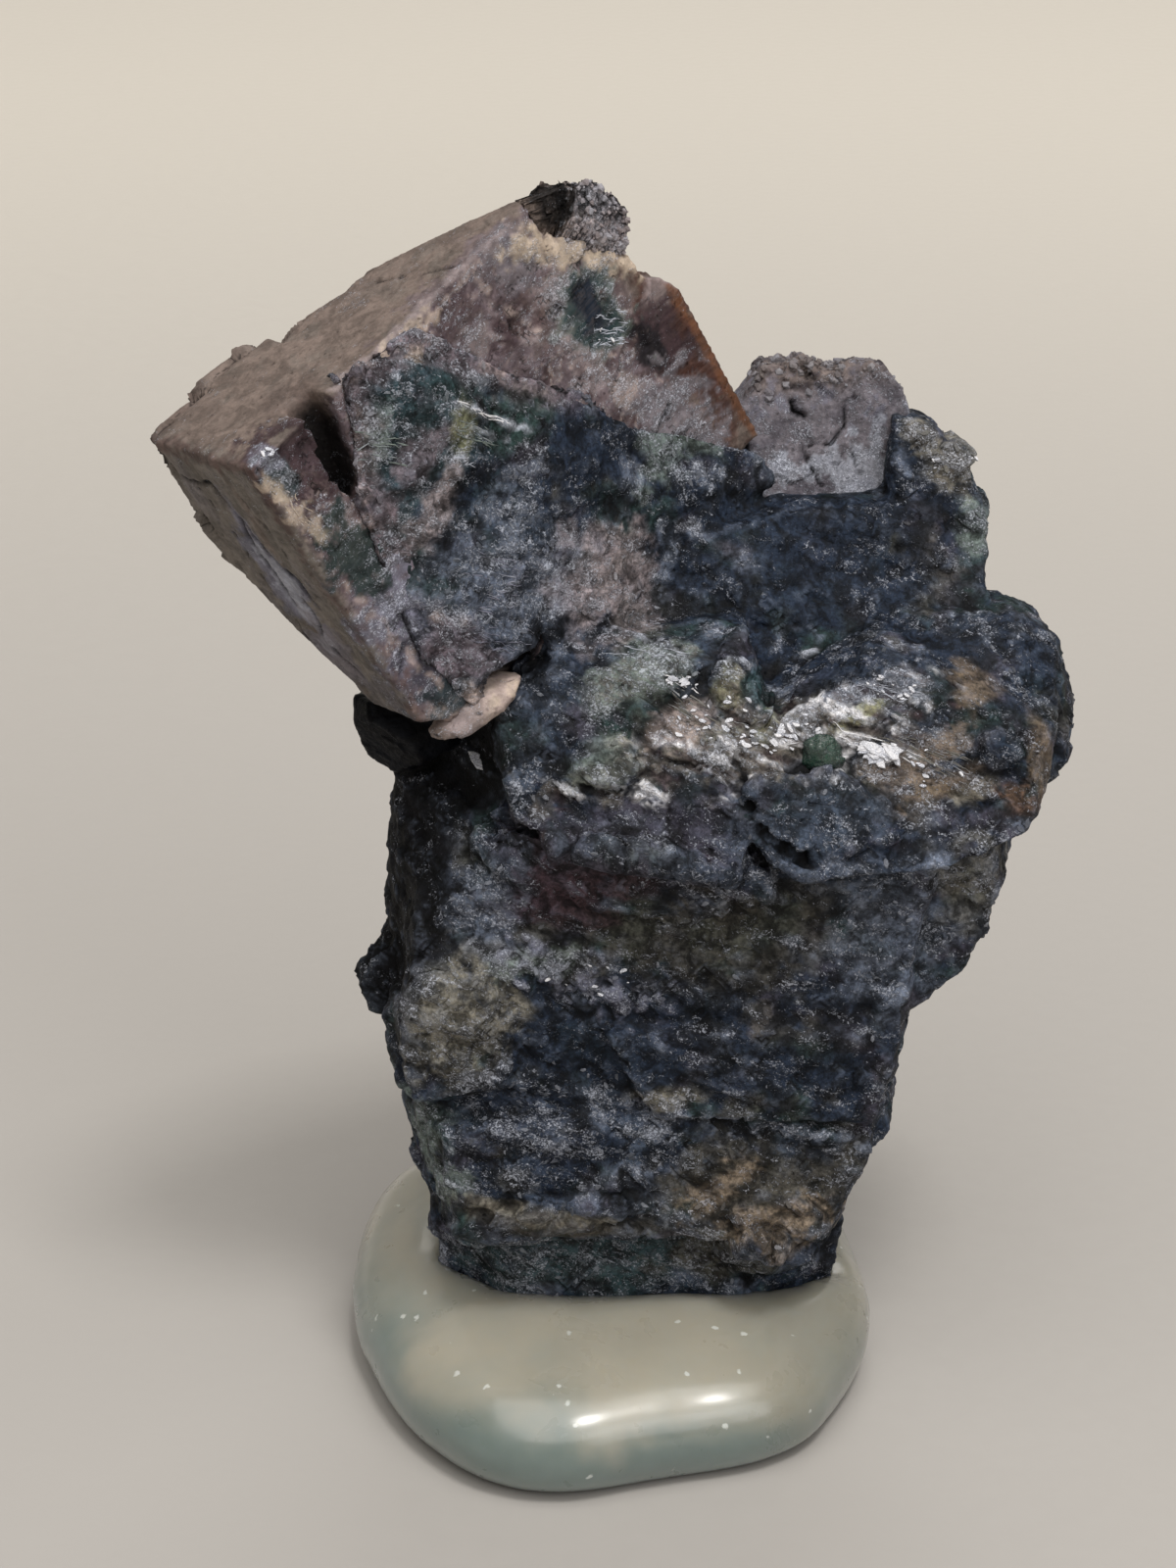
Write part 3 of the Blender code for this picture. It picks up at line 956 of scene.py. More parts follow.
@dataclass
class Canvas:
    """A material being laid: its graph, its shader and the inputs most finishes read."""

    name: str
    graph: Graph = field(init=False)
    material: Material = field(init=False)
    shader: bpy.types.Node = field(init=False)

    def __post_init__(self) -> None:
        """Makes an empty material with a shader and an output."""
        self.material = bpy.data.materials.new(self.name)
        self.material.use_nodes = True
        tree = self.material.node_tree
        tree.nodes.clear()
        self.graph = Graph(tree)
        self.shader = self.graph.add("ShaderNodeBsdfPrincipled")
        output = self.graph.add("ShaderNodeOutputMaterial")
        tree.links.new(self.shader.outputs[0], output.inputs[0])

    def place(self, turn: Point = (0, 0, 0)) -> Socket:
        """Object coordinates in millimetres.

        Args:
            turn: degrees that they are turned about each axis.

        Returns:
            The coordinates.
        """
        raw = self.graph.add("ShaderNodeTexCoord").outputs["Object"]
        radians = tuple(math.radians(a) for a in turn)
        inputs = {"Vector": raw, "Rotation": radians, "Scale": (1 / MM, 1 / MM, 1 / MM)}
        return self.graph.add("ShaderNodeMapping", inputs).outputs[0]

    def painted(self) -> tuple[Socket, Socket, Socket, Socket]:
        """The skin's paint: tint, silver, gloss and the painted shade of its hollows."""
        parts = self.graph.add("ShaderNodeSeparateXYZ", {0: self.graph.own("finish", "Vector")}).outputs
        return self.graph.own("tint", "Color"), parts[0], parts[1], parts[2]

    def fixed(self, **values: float) -> None:
        """Sets shader inputs that are the same all over; an underscore in a name stands for a space."""
        for name, value in values.items():
            self.shader.inputs[name.replace("_", " ")].default_value = value

    def finish(self, base: Socket, rough: Socket, normal: Socket, metal: Socket | None = None) -> Material:
        """Feeds the shader.

        Args:
            base: its colour.
            rough: its roughness.
            normal: its normal.
            metal: how metallic it is, or None for not at all.

        Returns:
            The material.
        """
        self.graph.feed(self.shader.inputs["Base Color"], base)
        self.graph.feed(self.shader.inputs["Roughness"], rough)
        self.graph.feed(self.shader.inputs["Normal"], normal)
        if metal:
            self.graph.feed(self.shader.inputs["Metallic"], metal)
        return self.material


# ---------------------------------------------------------------- finishes


@dataclass(frozen=True)
class MineralFinish:
    """Weathered stone: a mottled body colour under streaks, wisps of mica dust and small plates, which are paler partly
    as painted glint, with painted shade in its hollows.

    Attributes:
        name: the material's name.
        grain: directions along and across the stone's grain.
        mottle: patches per millimetre.
        contrast: how far the patches stray from the painted tint.
        wisps: clusters of dust per millimetre.
        streaks: streaks per millimetre, across the grain.
        streaking: how strongly streaks show where the paint is glossy.
        relief: depth of the fine roughness in millimetres.
        metal: how metallic the small plates are.
        streak_stone: colour of the streaks.
    """

    name: str
    grain: tuple[Point, Point]
    mottle: float = 0.8
    contrast: float = 0.6
    wisps: float = 1.0
    streaks: float = 4.0
    streaking: float = 0.5
    relief: float = 0.06
    metal: float = 0.5
    streak_stone: Stone = Stone.ROSE_TAN

    def build(self) -> Material:
        """Lays the material.

        Returns:
            The material.
        """
        canvas = Canvas(self.name)
        graph = canvas.graph
        place, level = canvas.place(), canvas.place(self.turn())
        tint, silver, gloss, hollow_shade = canvas.painted()
        mottle = EFFECTS.use(graph, "mottle", {"Place": place, "Scale": self.mottle})
        dust = EFFECTS.use(graph, "dust", {"Place": level, "Amount": silver, "Scale": self.wisps})
        fibres = EFFECTS.use(graph, "fibres", {"Place": level, "Scale": self.streaks, "Stretch": 9.0})
        glints = EFFECTS.use(graph, "glints", {"Place": level, "Scale": 4.2, "Share": 0.3, "Tilt": 1.0})
        low, high = 1 - self.contrast, 1 + self.contrast * 1.2
        shade = graph.ease(mottle["Patches"], 0.0, 1.0, low, high)
        fine = graph.ease(mottle["Grain"], 0.0, 1.0, 1 - self.contrast * 0.6, 1 + self.contrast * 0.7)
        body = graph.vector("SCALE", tint, scale=graph.times(shade, fine))
        streak = graph.times(graph.ease(gloss, 0.3, 0.9, 0.0, self.streaking), fibres["Streak"])
        body = graph.mix(streak, body, graph.mix(0.5, tint, colour(self.streak_stone)))
        pale = graph.mix(0.5, tint, colour(Stone.SILVER))
        pale = graph.vector("SCALE", pale, scale=graph.ease(dust["Pale"], 0.0, 1.0, 0.4, 1.5))
        base = graph.mix(graph.times(dust["Mask"], 0.85), body, pale)
        # Plates are drawn paler, towards silver: partly the mica's own colour, partly painted glint.
        plates = graph.times(glints["Mask"], graph.ease(silver, 0.3, 1.0, 0.0, 0.8))
        mica_and_glint = graph.mix(graph.ease(glints["Tone"], 0.2, 1.0, 0.3, 0.9), tint, colour(Stone.SILVER))
        base = graph.mix(graph.times(plates, 0.7), base, mica_and_glint)
        # Painted shade: hollows are mixed towards black.
        base = graph.mix(graph.ease(hollow_shade, 0.55, 0.95, 0.0, 0.7), base, colour(Stone.BLACK))
        rough = graph.ease(gloss, 0.0, 1.0, 0.7, 0.36)
        rough = graph.math("SUBTRACT", rough, graph.times(plates, 0.2))
        relief = graph.math("ADD", graph.times(mottle["Grain"], 0.5), graph.times(dust["Mask"], 0.5))
        relief = graph.math("ADD", relief, graph.times(streak, 0.8))
        normal = graph.bump(relief, self.relief, glints["Normal"])
        canvas.fixed(Specular_IOR_Level=0.12)
        return canvas.finish(base, rough, normal, graph.times(plates, self.metal))

    def turn(self) -> Point:
        """Finds how the grain lies.

        Returns:
            Degrees about each axis that bring the grain onto X and the direction across it onto Z.
        """
        across = Vector(self.grain[1]).normalized()
        along = Vector(self.grain[0])
        along = (along - across * along.dot(across)).normalized()
        rows = Matrix((along, across.cross(along), across))
        return tuple(math.degrees(a) for a in rows.to_euler())


@dataclass(frozen=True)
class SmoothStoneFinish:
    """A small smooth mineral: near-black crystal, cream rind, green grain or crust beads.

    Attributes:
        name: the material's name.
        light: its lighter colour.
        dark: its darker colour.
        grain: patches per millimetre.
        rough: lowest and highest roughness.
        relief: depth of the fine roughness in millimetres.
        coat: strength of a clear coat.
        glow: share of light that soaks in.
        shine: strength of plain reflections.
    """

    name: str
    light: Stone
    dark: Stone
    grain: float = 1.0
    rough: tuple[float, float] = (0.2, 0.45)
    relief: float = 0.05
    coat: float = 0.0
    glow: float = 0.0
    shine: float = 0.5

    def build(self) -> Material:
        """Lays the material.

        Returns:
            The material.
        """
        canvas = Canvas(self.name)
        graph = canvas.graph
        mottle = EFFECTS.use(graph, "mottle", {"Place": canvas.place(), "Scale": self.grain})
        base = graph.mix(mottle["Patches"], colour(self.light), colour(self.dark))
        flecks = graph.ease(mottle["Grain"], 0.72, 0.95, 0.0, 0.7)
        base = graph.mix(flecks, base, colour(self.dark))
        rough = graph.ease(mottle["Grain"], 0.0, 1.0, *self.rough)
        normal = graph.bump(mottle["Grain"], self.relief)
        canvas.fixed(Coat_Weight=self.coat, Coat_Roughness=0.12, Subsurface_Weight=self.glow, Subsurface_Scale=MM,
                     Specular_IOR_Level=self.shine)
        return canvas.finish(base, rough, normal)


@dataclass(frozen=True)
class FlakeFinish:
    """Loose grains that take the colour of the stone below them, each with its own tone.

    Attributes:
        name: the material's name.
        pale: how pale the palest grains are, from 0 to 1.
        rough: the palest grains' roughness.
        metal: how metallic the palest grains are.
    """

    name: str
    pale: float = 0.7
    rough: float = 0.3
    metal: float = 0.4

    def build(self) -> Material:
        """Lays the material.

        Returns:
            The material.
        """
        canvas = Canvas(self.name)
        graph = canvas.graph
        tint, tone = graph.own("tint", "Color"), graph.own("tone", "Fac")
        mottle = EFFECTS.use(graph, "mottle", {"Place": canvas.place(), "Scale": 2.0})
        base = graph.mix(graph.ease(tone, 0.3, 1.0, 0.05, self.pale), tint, colour(Stone.SILVER))
        base = graph.mix(graph.times(mottle["Patches"], 0.4), base, tint)
        rough = graph.ease(graph.math("ADD", tone, mottle["Grain"]), 0.4, 1.6, 0.6, self.rough)
        metal = graph.ease(tone, 0.4, 1.0, 0.0, self.metal)
        return canvas.finish(base, rough, graph.bump(mottle["Grain"], 0.03), metal)


@dataclass(frozen=True)
class PuttyFinish:
    """Milky translucent putty, beige above and blue-green at the sides.

    Attributes:
        name: the material's name.
        side: its linear colour low down.
        top: its linear colour high up.
        right: its linear colour towards +X.
        cloud: linear colour of its paler clouds.
        bubble: linear colour of its bubbles.
    """

    name: str = "putty"
    side: Point = (0.135, 0.175, 0.165)
    top: Point = (0.325, 0.305, 0.25)
    right: Point = (0.15, 0.15, 0.125)
    cloud: Point = (0.24, 0.28, 0.26)
    bubble: Point = (0.60, 0.62, 0.60)

    def build(self) -> Material:
        """Lays the material.

        Returns:
            The material.
        """
        canvas = Canvas(self.name)
        graph = canvas.graph
        place = canvas.place()
        across, _, height = graph.add("ShaderNodeSeparateXYZ", {0: place}).outputs
        cloud = graph.noise(place, 0.09, 3, 0.5, 0.8)
        fine = graph.noise(place, 0.35, 4, 0.6, 0.4)
        level = graph.math("ADD", height, graph.times(graph.math("SUBTRACT", cloud, 0.5), 9.0))
        top = graph.ease(level, 2.2, 7.0)
        base = graph.mix(top, (*self.side, 1), (*self.top, 1))
        right = graph.math("ADD", graph.times(across, 0.5), graph.times(cloud, 6.0))
        base = graph.mix(graph.ease(right, 6.0, 11.0, 0.0, 0.65), base, (*self.right, 1))
        base = graph.mix(graph.ease(fine, 0.4, 0.8, 0.0, 0.2), base, (*self.cloud, 1))
        rough = graph.ease(fine, 0.3, 0.7, 0.26, 0.38)
        bubbles = EFFECTS.use(graph, "glints", {"Place": place, "Scale": 2.2, "Share": 0.012, "Tilt": 0.0})
        base = graph.mix(graph.times(bubbles["Mask"], 0.7), base, (*self.bubble, 1))
        normal = graph.bump(graph.noise(place, 0.35, 2, 0.4), 0.12)
        canvas.fixed(IOR=1.42, Subsurface_Weight=1.0, Subsurface_Scale=5 * MM, Coat_Weight=1.0, Coat_Roughness=0.2)
        canvas.shader.inputs["Subsurface Radius"].default_value = (1.0, 0.9, 0.7)
        return canvas.finish(base, rough, normal)


# ---------------------------------------------------------------- scattered grains


class Shape(Enum):
    """Forms of the small grains that are scattered over a skin."""

    PLATE = "plate"
    CHIP = "chip"


@dataclass
class Scatter:
    """Small grains strewn over a skin by Geometry Nodes.

    Attributes:
        name: the piece's name.
        shape: the grains' form.
        per_square_mm: how many grains lie on each square millimetre where the skin's mask is full.
        smallest: the least width of a grain in millimetres.
        largest: the greatest width of a grain in millimetres.
        tilt: how far the grains lean from the skin, from 0 to 1.
        seed: picks the layout.
        kinds: how many different grains there are.
        rare_width: how rare wide grains are; 1 makes every width as common.
    """

    name: str
    shape: Shape
    per_square_mm: float
    smallest: float
    largest: float
    tilt: float
    seed: int
    kinds: int = 4
    rare_width: float = 2.2

    def prototypes(self) -> list[Object]:
        """Makes a few different grains, one millimetre wide.

        Returns:
            The grains.
        """
        made = []
        for kind in range(self.kinds):
            net = bmesh.new()
            if self.shape is Shape.PLATE:
                self.shape_plate(net, kind)
            else:
                bmesh.ops.create_icosphere(net, subdivisions=1, radius=0.5 * MM)
                codes = three_parts(scramble(np.array([[n, kind, 7] for n in range(len(net.verts))]), 13))
                for vertex, code in zip(net.verts, codes):
                    vertex.co += Vector(code) * 0.17 * MM
            mesh = mesh_of(net, f"{self.name}_kind_{kind}")
            made.append(in_scene(mesh.name, mesh))
        return made

    def shape_plate(self, net: Net, kind: int) -> None:
        """Fills a net with one thin plate of uneven outline.

        Args:
            net: the empty net.
            kind: which of the different grains it is.
        """
        corners, slim = 6, 0.55
        rims = []
        for level, inset in ((0.0, 1.0), (0.09, 0.82)):
            ring = []
            for n in range(corners):
                code = float(three_parts(scramble(np.array([[n, kind, 3]]), 11))[0, 0])
                angle = math.tau * (n + 0.25 * code) / corners
                reach = 0.5 * (0.8 + 0.3 * code) * inset
                spot = Vector((math.cos(angle) * reach, slim * math.sin(angle) * reach, level))
                ring.append(net.verts.new(spot * MM))
            rims.append(ring)
        close_rings(net, rims)

    def tree(self) -> bpy.types.GeometryNodeTree:
        """Builds the node tree: spread points by the mask, set a grain on each, and make all of it real.

        Returns:
            The tree.
        """
        tree = bpy.data.node_groups.new(self.name + "_tree", "GeometryNodeTree")
        sockets = {"Skin": "Geometry", "Density": "Float", "Smallest": "Float", "Largest": "Float",
                   "Tilt": "Float", "Seed": "Int", "Material": "Material"}
        sockets |= {f"Grain {n}": "Object" for n in range(self.kinds)}
        for label, kind in sockets.items():
            tree.interface.new_socket(label, in_out="INPUT", socket_type="NodeSocket" + kind)
        tree.interface.new_socket("Grains", in_out="OUTPUT", socket_type="NodeSocketGeometry")
        graph = Graph(tree)
        given = {s.name: s for s in graph.add("NodeGroupInput").outputs}
        mask = graph.add("GeometryNodeInputNamedAttribute", {"Name": "flakes"}, data_type="FLOAT")
        density = graph.times(mask.outputs["Attribute"], given["Density"])
        spread = graph.add(
            "GeometryNodeDistributePointsOnFaces",
            {"Mesh": given["Skin"], "Density": density, "Seed": given["Seed"]},
        )

        def draw(step: int, kind: str = "FLOAT", ends: dict | None = None) -> Socket:
            """A random value of its own for each grain, between the ends where they are given."""
            seed = graph.math("ADD", given["Seed"], float(step))
            node = graph.add("FunctionNodeRandomValue", {"Seed": seed} | (ends or {}), data_type=kind)
            return node.outputs[("FLOAT_VECTOR", "FLOAT", "INT").index(kind)]

        lean = graph.vector("SCALE", draw(0, "FLOAT_VECTOR", {0: (-1, -1, -1)}), scale=given["Tilt"])
        aim = graph.vector("ADD", spread.outputs["Normal"], lean)
        level = graph.add("FunctionNodeAlignRotationToVector", {"Vector": aim}, axis="Z")
        spin = graph.add("FunctionNodeAxisAngleToRotation", {"Axis": (0, 0, 1), "Angle": draw(1, ends={3: math.tau})})
        turn = graph.add(
            "FunctionNodeRotateRotation",
            {"Rotation": level.outputs[0], "Rotate By": spin.outputs[0]},
            rotation_space="LOCAL",
        )
        width = graph.math("SUBTRACT", given["Largest"], given["Smallest"])
        width = graph.times(width, graph.math("POWER", draw(2), self.rare_width))
        width = graph.math("ADD", given["Smallest"], width)
        pool = graph.add("GeometryNodeJoinGeometry")
        for n in reversed(range(self.kinds)):
            info = graph.add("GeometryNodeObjectInfo", {"Object": given[f"Grain {n}"], "As Instance": True})
            tree.links.new(info.outputs["Geometry"], pool.inputs[0])
        placed = graph.add(
            "GeometryNodeInstanceOnPoints",
            {"Points": spread.outputs["Points"], "Instance": pool.outputs[0], "Pick Instance": True,
             "Instance Index": draw(3, "INT", {5: self.kinds - 1}), "Rotation": turn.outputs[0], "Scale": width},
        )
        marked = graph.add(
            "GeometryNodeStoreNamedAttribute",
            {"Geometry": placed.outputs[0], "Name": "tone", "Value": draw(4)},
            data_type="FLOAT", domain="INSTANCE",
        )
        real = graph.add("GeometryNodeRealizeInstances", {"Geometry": marked.outputs[0]})
        dressed = graph.add("GeometryNodeSetMaterial", {"Geometry": real.outputs[0], "Material": given["Material"]})
        graph.add("NodeGroupOutput", {0: dressed.outputs[0]})
        return tree

    def over(self, skin: Object, material: Material) -> Object:
        """Strews the grains over a finished piece.

        Args:
            skin: a piece with a point attribute "flakes" from 0 to 1.
            material: the grains' finish.

        Returns:
            The grains as one plain mesh object.
        """
        grains = self.prototypes()
        carrier = in_scene(self.name, skin.data)
        modifier = carrier.modifiers.new("scatter", "NODES")
        modifier.node_group = self.tree()
        values = {"Density": self.per_square_mm / MM**2, "Smallest": self.smallest, "Largest": self.largest,
                  "Tilt": self.tilt, "Seed": self.seed, "Material": material}
        values |= {f"Grain {n}": grain for n, grain in enumerate(grains)}
        for item in modifier.node_group.interface.items_tree:
            if item.in_out == "INPUT" and item.name in values:
                modifier[item.identifier] = values[item.name]
        carrier.data = evaluated_copy(carrier)
        carrier.modifiers.clear()
        carrier.data.name = self.name
        for grain in grains:
            bpy.data.objects.remove(grain)
        return dress(carrier, material, smooth=False)


# ---------------------------------------------------------------- sub-assemblies


@dataclass
class CrystalAxes:
    """The block's own frame: length along its front, depth into it, height up its front.

    Attributes:
        corner: its origin, the block's upper left front corner, in millimetres.
        turn: degrees about each axis.
    """

    corner: Point = (-19.5, -15.0, 64.2)
    turn: Point = (-5.9, -29.7, 41.4)

    @property
    def matrix(self) -> Array:
        """The turn as a 3 x 3 matrix."""
        return np.array(Euler([math.radians(a) for a in self.turn]).to_matrix())

    def of(self, points: Array) -> Array:
        """Places in the block's frame, in millimetres, for places in the object's frame."""
        return (points - np.array(self.corner)) @ self.matrix

    def back(self, places: Array) -> Array:
        """Directions or offsets in the object's frame for those in the block's frame."""
        return places @ self.matrix.T


@dataclass(frozen=True)
class Patch:
    """Patches of one mineral, wherever a noise of their own is high.

    Attributes:
        stone: its colour.
        size: width of a patch in millimetres.
        seed: picks the layout.
        least: the noise at which patches begin, so that more leaves fewer of them.
        cover: how much of the colour below they hide.
        silver: how thickly fine mica lies on them.
    """

    stone: Stone
    size: float
    seed: int
    least: float
    cover: float
    silver: float


